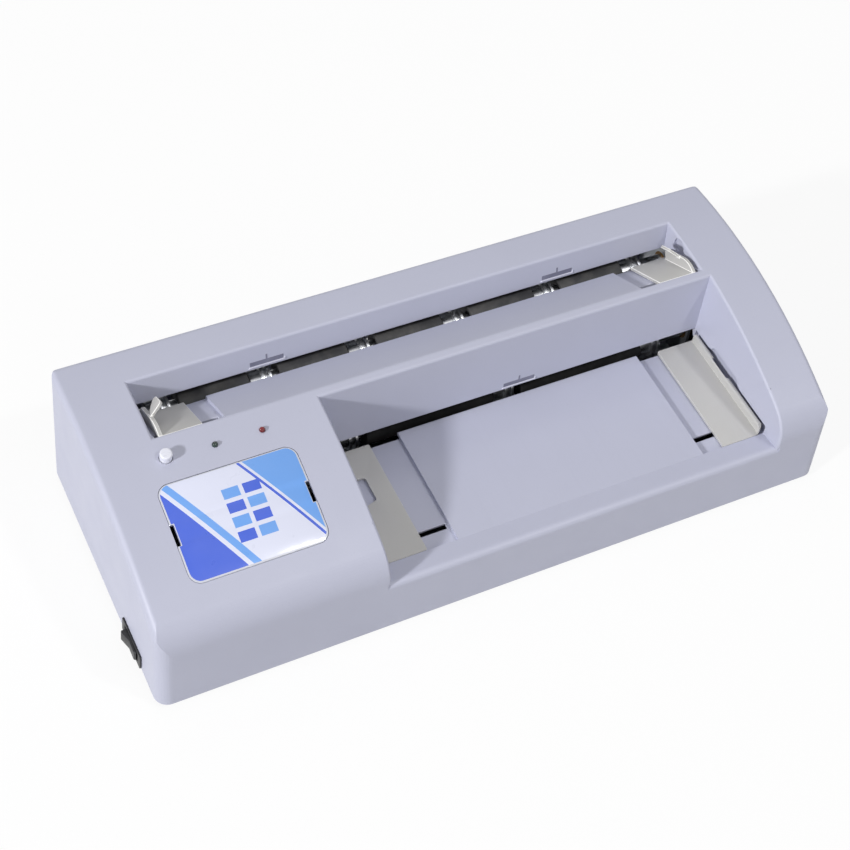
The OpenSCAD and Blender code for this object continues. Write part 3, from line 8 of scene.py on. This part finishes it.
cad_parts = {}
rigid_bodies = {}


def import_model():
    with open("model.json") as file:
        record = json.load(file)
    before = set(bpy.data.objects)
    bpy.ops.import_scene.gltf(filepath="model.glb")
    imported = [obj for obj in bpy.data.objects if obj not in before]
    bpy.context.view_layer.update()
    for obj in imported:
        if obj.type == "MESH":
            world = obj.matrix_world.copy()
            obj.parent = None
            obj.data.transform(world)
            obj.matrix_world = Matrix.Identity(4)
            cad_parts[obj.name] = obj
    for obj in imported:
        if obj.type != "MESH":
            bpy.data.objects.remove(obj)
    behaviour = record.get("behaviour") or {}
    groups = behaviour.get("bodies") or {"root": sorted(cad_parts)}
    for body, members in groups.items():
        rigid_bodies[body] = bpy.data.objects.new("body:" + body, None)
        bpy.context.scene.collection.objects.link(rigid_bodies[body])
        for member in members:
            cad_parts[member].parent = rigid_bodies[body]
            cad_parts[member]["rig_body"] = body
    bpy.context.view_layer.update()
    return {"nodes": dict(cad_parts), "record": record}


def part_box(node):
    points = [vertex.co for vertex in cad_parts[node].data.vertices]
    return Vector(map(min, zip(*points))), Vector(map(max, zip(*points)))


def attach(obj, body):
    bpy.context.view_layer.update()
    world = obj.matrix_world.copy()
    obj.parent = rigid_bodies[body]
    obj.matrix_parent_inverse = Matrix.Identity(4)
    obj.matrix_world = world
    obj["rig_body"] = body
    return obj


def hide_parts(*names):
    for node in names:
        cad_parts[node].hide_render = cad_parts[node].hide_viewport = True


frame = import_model()

# Lengths are in millimetres, and angles in degrees, where a comment says nothing else
MM = 0.001

# Camera of the photograph: picture width and focal length in pixels, sensor width, place, turn about X, Y
# and Z, and the farthest thing it sees
IMAGE_PX = 850
FOCAL_PX = 1778.1
SENSOR_WIDTH = 36.0
CAMERA_AT = (-315.08, -463.4, 751.9)
CAMERA_TURN = (37.7393, -5.6378, -25.6783)
CAMERA_REACH = 50000.0

# Soft lamps: direction from the object, distance and side length in metres, brightness on a facing surface
LAMPS = {
    "key_left": ((-1.84, -0.5, 1.0), 4.0, 0.3, 0.7),
    "fill_right": ((0.42, -0.5, 1.0), 4.0, 0.3, 0.2),
    "rim_back": ((0.0, 0.63, 1.0), 4.0, 0.7, 0.04),
    "fill_front": ((-0.2, -1.6, 1.0), 4.0, 1.0, 0.04),
}
# Strength of the surroundings as light on the object, where 1 is the white that the camera sees
WORLD_LIGHT = 0.37

# Floor: half its side, the share of plain white that it shows, and the painted shadow under the object, which
# leaves the white out, ends this far inside the base plate's edge and fades out over a soft margin
FLOOR_HALF = 4000.0
FLOOR_WHITE = 0.88
SHADOW_PATCH_INSET = 17.0
SHADOW_PATCH_BLUR = 14.0

# Walls that carry the register marks: foot point in Y and Z, and lean
UPPER_WALL = ((50.3, 65.56), 12.4)
LOWER_WALL = ((10.44, 40.7), 4.6)
# Register marks: name, place along X, wall, height of the bar's lower edge above the wall's foot
# The marks are engraved in the real walls; here each is a dark bar, painted shade of the hollow, over a pale
# ledge, a painted highlight where the hollow's lower edge catches the light.
MARKS = (
    ("upper_mark_left", -80.5, UPPER_WALL, 2.6),
    ("upper_mark_right", 84.5, UPPER_WALL, 2.6),
    ("lower_mark", 44.7, LOWER_WALL, 2.2),
)
# Each mark: half length and height of its bar, height and half width of its tick, width of the ledge round
# the bar's foot
BAR_HALF = 9.0
BAR_HEIGHT = 2.6
TICK_HEIGHT = 5.4
TICK_HALF = 0.45
LEDGE_WIDTH = 0.9
# How far the pads reach into the wall and stand off it, how much their outer edges are rounded, and the
# faces across such an edge
PAD_SUNK = 0.05
SHADE_BAR_PROUD = 0.1
SHADE_BAR_ROUND = 0.03
LEDGE_PROUD = 0.45
LEDGE_ROUND = 0.2
PAD_ROUND_STEPS = 2

# Height of the flat tray, where paper leaves rub marks, and how far from it a point still counts as the tray
TRAY_Z = 35.5
TRAY_SLACK = 0.4

# Rims of the lower recess's end walls: middles in Y and Z of the crown and the front rounding, radii of the
# crown and the rim, the rim's reach past the crown, the rear end of the stretch that is mended, the walls'
# distance from the middle at the tray on the left (-1) and right (1), and their lean
CROWN_AT = (44.0, -173.7)
FRONT_AT = (-54.326, 39.741)
CROWN_R = 255.0
RIM_R = 1.6
RIM_SEAM = 0.06
RIM_END_Y = -52.6
END_WALL_X = {-1: 67.6, 1: 153.4}
END_WALL_LEAN = 1.9
# Slack beside the rim, slack above it, and the greatest depth of the step
RIM_SLACK = 0.02
RIM_ABOVE = 0.01
RIM_STEP = 3.0

# Nameplate print, measured from the plate's middle: corner radius, border, shift along X per Y of the slanted
# fields, their reach past the plate's ends, and size, pitch, number and middle along X of the grid's cards
PLATE_CORNER = 6.0
PLATE_BORDER = 0.9
FIELD_SLANT = 0.62
FIELD_REACH = 90.0
CARD_SIZE = (8.4, 5.0)
CARD_PITCH = (10.4, 7.0)
CARD_COUNT = (2, 4)
CARDS_X = 3.0

# Softened edges: distance at which points join, angles from which an edge is kept, is rounded and stays
# sharp, and the faces across a rounded edge
WELD = 0.001
FLAT_ANGLE = 0.5
ROUND_ANGLE = 28.0
SHARP_ANGLE = 40.0
ROUND_STEPS = 3
# Rounding of the nodes that get softened edges
SOFT_EDGES = {
    0.15: ("control_board", "strip_upper_discs", "strip_lower_discs", "card_upper_discs", "card_lower_discs",
           "strip_exit_chute", "card_exit_chute", "upper_guide_plate", "lower_guide_plate"),
    0.25: ("base_plate", "left_frame", "right_frame", "foot_screws", "cover_screws", "frame_screws",
           "rocker", "switch_body", "push_switch", "inlet_pins"),
    0.35: ("upper_left_guide", "upper_right_guide", "lower_left_guide", "lower_right_guide", "nameplate",
           "power_inlet", "strip_upper_rollers", "strip_lower_rollers", "card_upper_rollers",
           "card_lower_rollers"),
    0.6: ("rubber_feet", "drive_motor", "gearbox", "power_supply"),
}


def srgb(r, g, b):
    """Linear colour of an 8-bit screen colour."""
    def linear(v):
        c = v / 255
        return c / 12.92 if c <= 0.04045 else ((c + 0.055) / 1.055) ** 2.4
    return (linear(r), linear(g), linear(b), 1.0)


def shade(colour, factor):
    """A colour made darker or brighter."""
    return tuple(min(1.0, factor * c) for c in colour[:3]) + (1.0,)


class Look:
    """A material whose nodes are added one call at a time."""

    def __init__(self, name, **sockets):
        self.material = bpy.data.materials.new(name)
        self.material.use_nodes = True
        self.tree = self.material.node_tree
        self.shader = self.tree.nodes["Principled BSDF"]
        self.place = self.add("ShaderNodeTexCoord").outputs["Object"]
        for socket, value in sockets.items():
            self.shader.inputs[socket.replace("_", " ")].default_value = value

    def add(self, kind, inputs=None, **settings):
        node = self.tree.nodes.new(kind)
        for key, value in settings.items():
            setattr(node, key, value)
        for key, value in (inputs or {}).items():
            self.put(node.inputs[key], value)
        return node

    def put(self, socket, value):
        if isinstance(value, bpy.types.NodeSocket):
            self.tree.links.new(value, socket)
        else:
            socket.default_value = value

    def feed(self, socket, value):
        self.put(self.shader.inputs[socket], value)

    def axes(self):
        """The place along X, Y and Z, in metres."""
        return self.add("ShaderNodeSeparateXYZ", {"Vector": self.place}).outputs

    def noise(self, scale, detail=3.0, stretch=None):
        vector = self.place
        if stretch:
            vector = self.add("ShaderNodeMapping", {"Vector": vector, "Scale": stretch}).outputs[0]
        node = self.add("ShaderNodeTexNoise", {"Vector": vector, "Scale": scale, "Detail": detail})
        return node.outputs["Fac"]

    def math(self, operation, a, b=0.0, c=0.0):
        node = self.add("ShaderNodeMath", operation=operation)
        for socket, value in zip(node.inputs, (a, b, c)):
            self.put(socket, value)
        return node.outputs[0]

    def span(self, value, start=0.3, full=0.7, gives=(0.0, 1.0)):
        """Goes from the first of two values, at start, to the second, at full."""
        node = self.add("ShaderNodeMapRange", {
            "Value": value, "From Min": start, "From Max": full, "To Min": gives[0], "To Max": gives[1]})
        return node.outputs[0]

    def patches(self, scale, detail=3.0, stretch=None, **limits):
        """Noise drawn out between the limits of a span."""
        return self.span(self.noise(scale, detail, stretch), **limits)

    def mix(self, factor, a, b):
        # A Mix node has a set of sockets for each kind of data, and these are the colour's
        node = self.add("ShaderNodeMix", data_type="RGBA")
        self.put(node.inputs[0], factor)
        self.put(node.inputs[6], a)
        self.put(node.inputs[7], b)
        return node.outputs[2]

    def bump(self, height, strength, depth):
        node = self.add("ShaderNodeBump", {"Height": height, "Strength": strength, "Distance": depth * MM})
        self.feed("Normal", node.outputs[0])

    def edge(self):
        """One on rounded edges, nought elsewhere."""
        return self.add("ShaderNodeAttribute", attribute_name="edge").outputs["Fac"]


def moulded(name, colour, pale, rough, grain=1900.0, mottle=22.0, rub_z=None, worn=(0.25, 0.8)):
    """Injection moulded plastic: fine grain, faint flow mottling, paler rounded edges that are a painted
    highlight with some rubbing wear, and paper rub marks.
    """
    look = Look(name)
    base = look.mix(look.patches(mottle, detail=4.0), shade(colour, 0.975), colour)
    speck = look.patches(scale=1400.0, detail=1.0, start=0.66, full=0.78, gives=(0.0, 0.35))
    base = look.mix(speck, base, shade(colour, 0.86))
    if rub_z:
        on_tray = look.math("COMPARE", look.axes()[2], rub_z * MM, TRAY_SLACK * MM)
        lines = look.patches(scale=420.0, detail=4.0, stretch=(1.0, 0.03, 1.0),
                             start=0.56, full=0.72, gives=(0.0, 0.1))
        base = look.mix(look.math("MULTIPLY", on_tray, lines), base, shade(colour, 0.9))
    # Paler rounded edges: a painted highlight, varied in patches like rubbing wear; pale is their colour,
    # worn how far they go towards it.
    edge_highlight_and_wear = look.patches(scale=160.0, start=0.35, full=0.6, gives=worn)
    look.feed("Base Color", look.mix(look.math("MULTIPLY", look.edge(), edge_highlight_and_wear), base, pale))
    look.feed("Roughness", look.patches(scale=mottle * 3, detail=5.0, start=0.25, full=0.75,
                                        gives=(rough - 0.06, rough + 0.07)))
    look.bump(look.noise(grain, detail=2.0), strength=0.12, depth=0.12)
    return look


def gloss(name, colour, pale, rough):
    """Polished plastic with hairline marks."""
    look = Look(name, Coat_Weight=0.35, Coat_Roughness=0.08)
    hair = look.patches(scale=240.0, detail=6.0, stretch=(1.0, 9.0, 1.0), start=0.42, full=0.68)
    look.feed("Base Color", look.mix(hair, colour, pale))
    look.feed("Roughness", look.patches(scale=90.0, detail=4.0, gives=(rough, rough + 0.12)))
    look.bump(look.noise(scale=700.0), strength=0.05, depth=0.05)
    return look


def lens(name, colour, deep):
    """Tinted clear dome of a lamp."""
    look = Look(name, IOR=1.5, Coat_Weight=0.4, Coat_Roughness=0.03, Transmission_Weight=0.25)
    cloud = look.patches(scale=420.0, detail=2.0, start=0.35, full=0.65)
    look.feed("Base Color", look.mix(cloud, deep, colour))
    look.feed("Roughness", look.patches(scale=300.0, gives=(0.08, 0.2)))
    return look


def metal(name, colour, dark, rough, scale=260.0, stretch=None):
    """Metal with a little tarnish, brighter rounded edges that are a painted highlight, and working marks,
    which are lines where they are stretched.
    """
    look = Look(name, Metallic=1.0)
    lines = look.noise(scale, detail=5.0, stretch=stretch)
    tarnish = look.patches(scale=45.0, detail=4.0, start=0.42, full=0.7, gives=(0.0, 0.55))
    # Rounded edges a quarter brighter: a painted highlight.
    edge_highlighted = look.mix(look.edge(), colour, shade(colour, 1.25))
    look.feed("Base Color", look.mix(tarnish, edge_highlighted, dark))
    look.feed("Roughness", look.span(lines, gives=(rough - 0.08, rough + 0.12)))
    look.bump(lines, strength=0.18, depth=0.05)
    return look


def rubber(name, colour, worn, rough):
    """Ground rubber with a dusty, slightly worn skin."""
    look = Look(name, Specular_IOR_Level=0.35)
    dust = look.patches(scale=130.0, detail=6.0, start=0.4, full=0.75)
    look.feed("Base Color", look.mix(dust, colour, worn))
    look.feed("Roughness", look.patches(scale=300.0, gives=(rough - 0.08, rough + 0.08)))
    look.bump(look.noise(scale=1100.0, detail=4.0), strength=0.3, depth=0.15)
    return look


def laminate(name, colour, track):
    """Coated circuit laminate with faint tracks."""
    look = Look(name, Coat_Weight=0.2)
    wave = look.add("ShaderNodeTexWave", {"Vector": look.place, "Scale": 170.0, "Distortion": 6.0,
                                          "Detail Scale": 0.6}, wave_type="BANDS")
    tracks = look.span(wave.outputs["Fac"], start=0.6, full=0.75)
    look.feed("Base Color", look.mix(tracks, colour, track))
    look.feed("Roughness", look.patches(scale=200.0, gives=(0.3, 0.45)))
    return look


def plate_print(look, x, y):
    """Two slanted corner fields with their lines and a small grid of cards on a pale ground."""
    sky = srgb(104, 163, 238)
    blue = srgb(52, 92, 214)
    colour = srgb(224, 227, 246)

    def inside(value, middle, width):
        return look.math("COMPARE", value, middle, width / 2)

    slant = look.math("MULTIPLY_ADD", y, FIELD_SLANT, x)
    fields = ((-FIELD_REACH, -21.0, blue), (-18.5, -14.5, sky), (19.5, 21.0, blue), (22.5, FIELD_REACH, sky))
    for low, high, ink in fields:
        colour = look.mix(inside(slant, (low + high) / 2, high - low), colour, ink)
    columns, rows = CARD_COUNT
    for column in range(columns):
        for row in range(rows):
            wide = inside(x, CARDS_X + (column - (columns - 1) / 2) * CARD_PITCH[0], CARD_SIZE[0])
            tall = inside(y, (row - (rows - 1) / 2) * CARD_PITCH[1], CARD_SIZE[1])
            ink = sky if (row + column) % 2 else blue
            colour = look.mix(look.math("MULTIPLY", wide, tall), colour, ink)
    return colour


def plate_border(look, x, y, half):
    """One on the border of the plate's rounded rectangle, nought inside it."""
    squares = []
    for value, reach in zip((x, y), half):
        past = look.math("SUBTRACT", look.math("ABSOLUTE", value), reach - PLATE_CORNER)
        past = look.math("MAXIMUM", past, 0.0)
        squares.append(look.math("MULTIPLY", past, past))
    from_corner = look.math("SQRT", look.math("ADD", *squares))
    return look.math("GREATER_THAN", from_corner, PLATE_CORNER - PLATE_BORDER)


def printed_plate(name):
    """Nameplate film: a print with a pale border, a little faded."""
    low, high = (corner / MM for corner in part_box("nameplate"))
    middle = (low + high) / 2
    look = Look(name, Coat_Weight=0.5, Coat_Roughness=0.12)
    place = look.axes()
    x = look.math("MULTIPLY_ADD", place[0], 1 / MM, -middle.x)
    y = look.math("MULTIPLY_ADD", place[1], 1 / MM, -middle.y)
    border = look.math("MAXIMUM", plate_border(look, x, y, (high - low) / 2), look.edge())
    colour = look.mix(border, plate_print(look, x, y), srgb(206, 208, 218))
    fade = look.patches(scale=30.0, detail=4.0, gives=(0.0, 0.07))
    look.feed("Base Color", look.mix(fade, colour, srgb(205, 208, 220)))
    look.feed("Roughness", look.patches(scale=140.0, detail=5.0, gives=(0.26, 0.42)))
    look.bump(look.noise(scale=900.0, detail=2.0), strength=0.06, depth=0.05)
    return look


LOOKS = {
    # In the moulded looks the second colour is that of the rounded edges, a painted highlight with some
    # rubbing wear; the guides' nearly white edges are mostly painted highlight.
    "housing": moulded("housing_grey", srgb(190, 192, 210), srgb(222, 223, 236), 0.46, rub_z=TRAY_Z),
    "guide": moulded("guide_beige", srgb(193, 192, 190), srgb(254, 253, 250), 0.4, worn=(0.85, 1.0)),
    "plate": printed_plate("nameplate_film"),
    "button": gloss("button_white", srgb(233, 234, 245), srgb(222, 223, 234), 0.22),
    "green_lens": lens("lens_green", srgb(28, 60, 52), srgb(14, 34, 30)),
    "red_lens": lens("lens_red", srgb(150, 8, 26), srgb(96, 4, 14)),
    "black": moulded("black_moulded", srgb(22, 22, 24), srgb(70, 70, 76), 0.4, grain=2600.0),
    "steel": metal("bright_steel", srgb(206, 208, 212), srgb(150, 150, 152), 0.3, stretch=(1.0, 14.0, 14.0)),
    "dark_steel": metal("dark_steel", srgb(112, 113, 118), srgb(70, 70, 74), 0.42, stretch=(6.0, 6.0, 1.0)),
    "sheet": metal("zinc_sheet", srgb(196, 199, 204), srgb(160, 163, 166), 0.44, scale=60.0),
    "bronze": metal("sintered_bronze", srgb(140, 110, 72), srgb(88, 68, 46), 0.5, scale=900.0),
    "nylon": moulded("natural_nylon", srgb(232, 229, 216), srgb(246, 245, 238), 0.36, grain=1200.0),
    "rubber": rubber("black_rubber", srgb(20, 20, 22), srgb(38, 38, 38), 0.82),
    "roller": rubber("roller_rubber", srgb(66, 66, 69), srgb(94, 93, 92), 0.62),
    "board": laminate("board_laminate", srgb(28, 92, 56), srgb(44, 122, 74)),
    "motor": metal("motor_can", srgb(98, 100, 106), srgb(70, 71, 75), 0.5, 120.0, (1.0, 8.0, 8.0)),
}
# Painted shade: the bars' dark colour stands in for the shade inside the engraved marks.
MARK_SHADE_LOOK = rubber("mark_painted_shade", srgb(118, 119, 138), srgb(136, 137, 155), 0.6)
# Painted highlight: the ledges are paler than the housing where the marks' lower edges catch the light.
LEDGE_HIGHLIGHT_LOOK = moulded("mark_ledge_painted_highlight", srgb(212, 213, 228), srgb(222, 223, 236), 0.44)

# Slots of the nodes in the record, apart from the card rollers, which are of the feet's black rubber
SLOT_OF = {part["node"]: part["material_slot"] for part in frame["record"]["subparts"]}
SLOT_OF.update(card_upper_rollers="rubber", card_lower_rollers="rubber")


def dress_nodes():
    """Gives every node the material of its slot."""
    for name, node in frame["nodes"].items():
        node.data.materials.clear()
        node.data.materials.append(LOOKS[SLOT_OF[name]].material)


def add_piece(name, mesh, body, look):
    piece = bpy.data.objects.new(name, mesh)
    bpy.context.scene.collection.objects.link(piece)
    mesh.materials.append(look.material)
    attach(piece, body)
    return piece


def add_copy(name, mesh, node):
    """A piece that stands for a node, on the node's body and of its material."""
    slot = SLOT_OF[node]
    piece = add_piece(name, mesh, frame["nodes"][node]["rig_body"], LOOKS[slot])
    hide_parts(node)


def mesh_from(shape, name):
    """Turns a shape that is being edited into a mesh."""
    mesh = bpy.data.meshes.new(name)
    shape.to_mesh(mesh)
    shape.free()
    return mesh


def bends(line, angle):
    """Whether the two faces of an edge meet at more than an angle."""
    return len(line.link_faces) == 2 and line.calc_face_angle(0) > math.radians(angle)


def soften(node, width):
    """A copy of a node with rounded edges, which stands for it."""
    shape = bmesh.new()
    shape.from_mesh(frame["nodes"][node].data)
    bmesh.ops.remove_doubles(shape, verts=shape.verts, dist=WELD * MM)
    bmesh.ops.dissolve_limit(shape, angle_limit=math.radians(FLAT_ANGLE), use_dissolve_boundaries=False,
                             verts=shape.verts, edges=shape.edges, delimit=set())
    bent = [line for line in shape.edges if bends(line, ROUND_ANGLE)]
    rounded = shape.faces.layers.float.new("edge")
    made = bmesh.ops.bevel(shape, geom=bent, offset=width * MM, offset_type="OFFSET", segments=ROUND_STEPS,
                           profile=0.5, affect="EDGES", clamp_overlap=True)
    for face in made["faces"]:
        face[rounded] = 1.0
    bmesh.ops.dissolve_degenerate(shape, dist=WELD * MM, edges=shape.edges)
    for face in shape.faces:
        face.smooth = True
    for line in shape.edges:
        line.smooth = not bends(line, SHARP_ANGLE)
    add_copy(node + "_soft", mesh_from(shape, node + "_soft"), node)


def wall_pad(name, x, wall, outline, proud, rounding, look):
    """A thin pad on a leaning wall, with its outline along X and up the wall."""
    (foot_y, foot_z), lean = wall
    up = Vector((0, math.sin(math.radians(lean)), math.cos(math.radians(lean))))
    out = Vector((0, -up.z, up.y))
    foot = Vector((x, foot_y, foot_z)) - out * PAD_SUNK
    shape = bmesh.new()
    face = shape.faces.new(
        [shape.verts.new((foot + Vector((along, 0, 0)) + up * height) * MM) for along, height in outline])
    grown = bmesh.ops.extrude_face_region(shape, geom=[face])["geom"]
    for point in grown:
        if isinstance(point, bmesh.types.BMVert):
            point.co += out * (PAD_SUNK + proud) * MM
    rim = [line for line in grown if isinstance(line, bmesh.types.BMEdge)]
    bmesh.ops.bevel(shape, geom=rim, offset=rounding * MM, offset_type="OFFSET", segments=PAD_ROUND_STEPS,
                    profile=0.5, affect="EDGES")
    bmesh.ops.recalc_face_normals(shape, faces=shape.faces)
    add_piece(name, mesh_from(shape, name), "housing", look)


def register_mark(name, x, wall, low):
    """A dark bar with a tick on a wall, painted shade of an engraved hollow, and the pale ledge round its
    foot, a painted highlight.
    """
    bar = low + BAR_HEIGHT
    tick = low + TICK_HEIGHT
    # Outline of the dark bar, whose colour is painted shade.
    ink = [(-BAR_HALF, low), (BAR_HALF, low), (BAR_HALF, bar), (TICK_HALF, bar), (TICK_HALF, tick),
           (-TICK_HALF, tick), (-TICK_HALF, bar), (-BAR_HALF, bar)]
    end = BAR_HALF + LEDGE_WIDTH
    lip = [(-end, low - LEDGE_WIDTH), (end, low - LEDGE_WIDTH), (end, low + LEDGE_WIDTH),
           (BAR_HALF, low + LEDGE_WIDTH), (BAR_HALF, low), (-BAR_HALF, low)]
    wall_pad(name, x, wall, ink, SHADE_BAR_PROUD, SHADE_BAR_ROUND, MARK_SHADE_LOOK)
    wall_pad(name + "_ledge", x, wall, lip, LEDGE_PROUD, LEDGE_ROUND, LEDGE_HIGHLIGHT_LOOK)


def lift_rim(mesh, side):
    """Lifts the step in an end wall's rim onto the crown's rim.

    Gives the numbers of all points on that rim, and the normals of the lifted ones.
    """
    lean = math.radians(END_WALL_LEAN)

    def on_wall(at):
        return Vector((side * (END_WALL_X[side] + math.tan(lean) * (at[1] - TRAY_Z)), *at))

    crown = on_wall(CROWN_AT)
    wall_normal = Vector((side * math.cos(lean), 0, -math.sin(lean)))
    rearward = wall_normal.cross((on_wall(FRONT_AT) - crown).normalized())
    rearward *= math.copysign(1, rearward.y)
    rim_foot = CROWN_R / math.cos(lean) + RIM_R * math.sin(lean) + RIM_SEAM - RIM_R
    on_rim = set()
    lifted = {}
    for point in mesh.vertices:
        spot = point.co / MM - crown
        across = spot.dot(wall_normal)
        if not -RIM_SLACK < across < RIM_R + RIM_SLACK:
            continue
        on_rim.add(point.index)
        if spot.dot(rearward) < RIM_SLACK or point.co.y / MM > RIM_END_Y:
            continue
        spoke = spot - wall_normal * across
        rise = math.sqrt(max(0.0, RIM_R ** 2 - (across - RIM_R) ** 2))
        if not -RIM_ABOVE < rim_foot + rise - spoke.length < RIM_STEP:
            continue
        out = spoke.normalized()
        point.co = (crown + wall_normal * across + out * (rim_foot + rise)) * MM
        lifted[point.index] = (out * rise + wall_normal * (across - RIM_R)).normalized()
    return on_rim, lifted


def mend_rims():
    """A copy of the top cover whose end rims have no step between the crown and the front rounding."""
    mesh = frame["nodes"]["top_cover"].data.copy()
    mesh.name = "top_cover_rims"
    mesh.materials.clear()
    normals = [corner.vector.copy() for corner in mesh.corner_normals]
    for side in END_WALL_X:
        on_rim, lifted = lift_rim(mesh, side)
        for face in mesh.polygons:
            if on_rim.issuperset(face.vertices):
                for corner, point in zip(face.loop_indices, face.vertices):
                    normals[corner] = lifted.get(point, normals[corner])
    mesh.normals_split_custom_set([tuple(normal) for normal in normals])
    add_copy("top_cover_rims", mesh, "top_cover")


def seen_rays(tree):
    """One for rays that show the background: the camera's, reflected ones and those that pass through."""
    path = tree.nodes.new("ShaderNodeLightPath")
    seen = path.outputs["Is Camera Ray"]
    for ray in ("Is Glossy Ray", "Is Transmission Ray"):
        either = tree.nodes.new("ShaderNodeMath")
        either.operation = "MAXIMUM"
        tree.links.new(seen, either.inputs[0])
        tree.links.new(path.outputs[ray], either.inputs[1])
        seen = either.outputs[0]
    return seen


def floor_look():
    """Pale floor, nearly white where it is seen, that keeps a soft shadow and has a painted shadow under the
    object.
    """
    look = Look("floor_pale", Roughness=0.9)
    seen = seen_rays(look.tree)
    cloud = look.noise(scale=3.0)
    matt = look.mix(cloud, srgb(184, 184, 184), srgb(190, 190, 190))
    pale = look.mix(cloud, srgb(247, 247, 247), srgb(251, 251, 251))
    look.feed("Base Color", look.mix(seen, matt, pale))
    # Painted shadow: in a patch under the object the white share is left out, so the floor's own shade shows
    # darker there.
    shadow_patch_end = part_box("base_plate")[1]
    past_x, past_y = (
        look.math("SUBTRACT", look.math("ABSOLUTE", along), end - SHADOW_PATCH_INSET * MM)
        for along, end in zip(look.axes()[:2], shadow_patch_end))
    outside_shadow_patch = look.span(look.math("MAXIMUM", past_x, past_y), start=0.0, full=SHADOW_PATCH_BLUR * MM)
    white = look.add("ShaderNodeEmission", {"Color": (1, 1, 1, 1), "Strength": 1.0})
    share = look.math("MULTIPLY", look.math("MULTIPLY", seen, FLOOR_WHITE), outside_shadow_patch)
    blend = look.add("ShaderNodeMixShader", {0: share, 1: look.shader.outputs[0], 2: white.outputs[0]})
    look.put(look.tree.nodes["Material Output"].inputs[0], blend.outputs[0])
    return look


def build_floor():
    half = FLOOR_HALF * MM
    corners = [(-half, -half, 0), (half, -half, 0), (half, half, 0), (-half, half, 0)]
    mesh = bpy.data.meshes.new("floor")
    mesh.from_pydata(corners, [], [range(len(corners))])
    mesh.materials.append(floor_look().material)
    floor = bpy.data.objects.new("floor", mesh)
    bpy.context.scene.collection.objects.link(floor)


def build_world():
    """White surroundings that light the object less than they show."""
    world = bpy.data.worlds.new("studio")
    world.use_nodes = True
    tree = world.node_tree
    strength = tree.nodes.new("ShaderNodeMapRange")
    strength.inputs["To Min"].default_value = WORLD_LIGHT
    strength.inputs["To Max"].default_value = 1.0
    tree.links.new(seen_rays(tree), strength.inputs["Value"])
    background = tree.nodes["Background"]
    background.inputs["Color"].default_value = (1, 1, 1, 1)
    tree.links.new(strength.outputs[0], background.inputs["Strength"])
    bpy.context.scene.world = world


def build_lamps():
    for name, (direction, distance, size, brightness) in LAMPS.items():
        light = bpy.data.lights.new(name, "AREA")
        light.shape = "SQUARE"
        light.size = size
        light.energy = brightness * (math.pi * distance) ** 2
        lamp = bpy.data.objects.new(name, light)
        towards = Vector(direction).normalized()
        lamp.location = towards * distance
        lamp.rotation_euler = (-towards).to_track_quat("-Z", "Y").to_euler()
        bpy.context.scene.collection.objects.link(lamp)


def build_camera():
    data = bpy.data.cameras.new("photo_camera")
    data.sensor_width = SENSOR_WIDTH
    data.sensor_fit = "HORIZONTAL"
    data.lens = FOCAL_PX / IMAGE_PX * SENSOR_WIDTH
    data.clip_end = CAMERA_REACH * MM
    camera = bpy.data.objects.new("photo_camera", data)
    turn = Euler([math.radians(angle) for angle in CAMERA_TURN])
    camera.matrix_world = Matrix.Translation(Vector(CAMERA_AT) * MM) @ turn.to_matrix().to_4x4()
    bpy.context.scene.collection.objects.link(camera)
    bpy.context.scene.camera = camera


dress_nodes()
for edge_width, softened in SOFT_EDGES.items():
    for node_name in softened:
        soften(node_name, edge_width)
mend_rims()
for mark in MARKS:
    register_mark(*mark)

build_floor()
build_world()
build_lamps()
build_camera()
bpy.context.scene.view_settings.view_transform = "Standard"
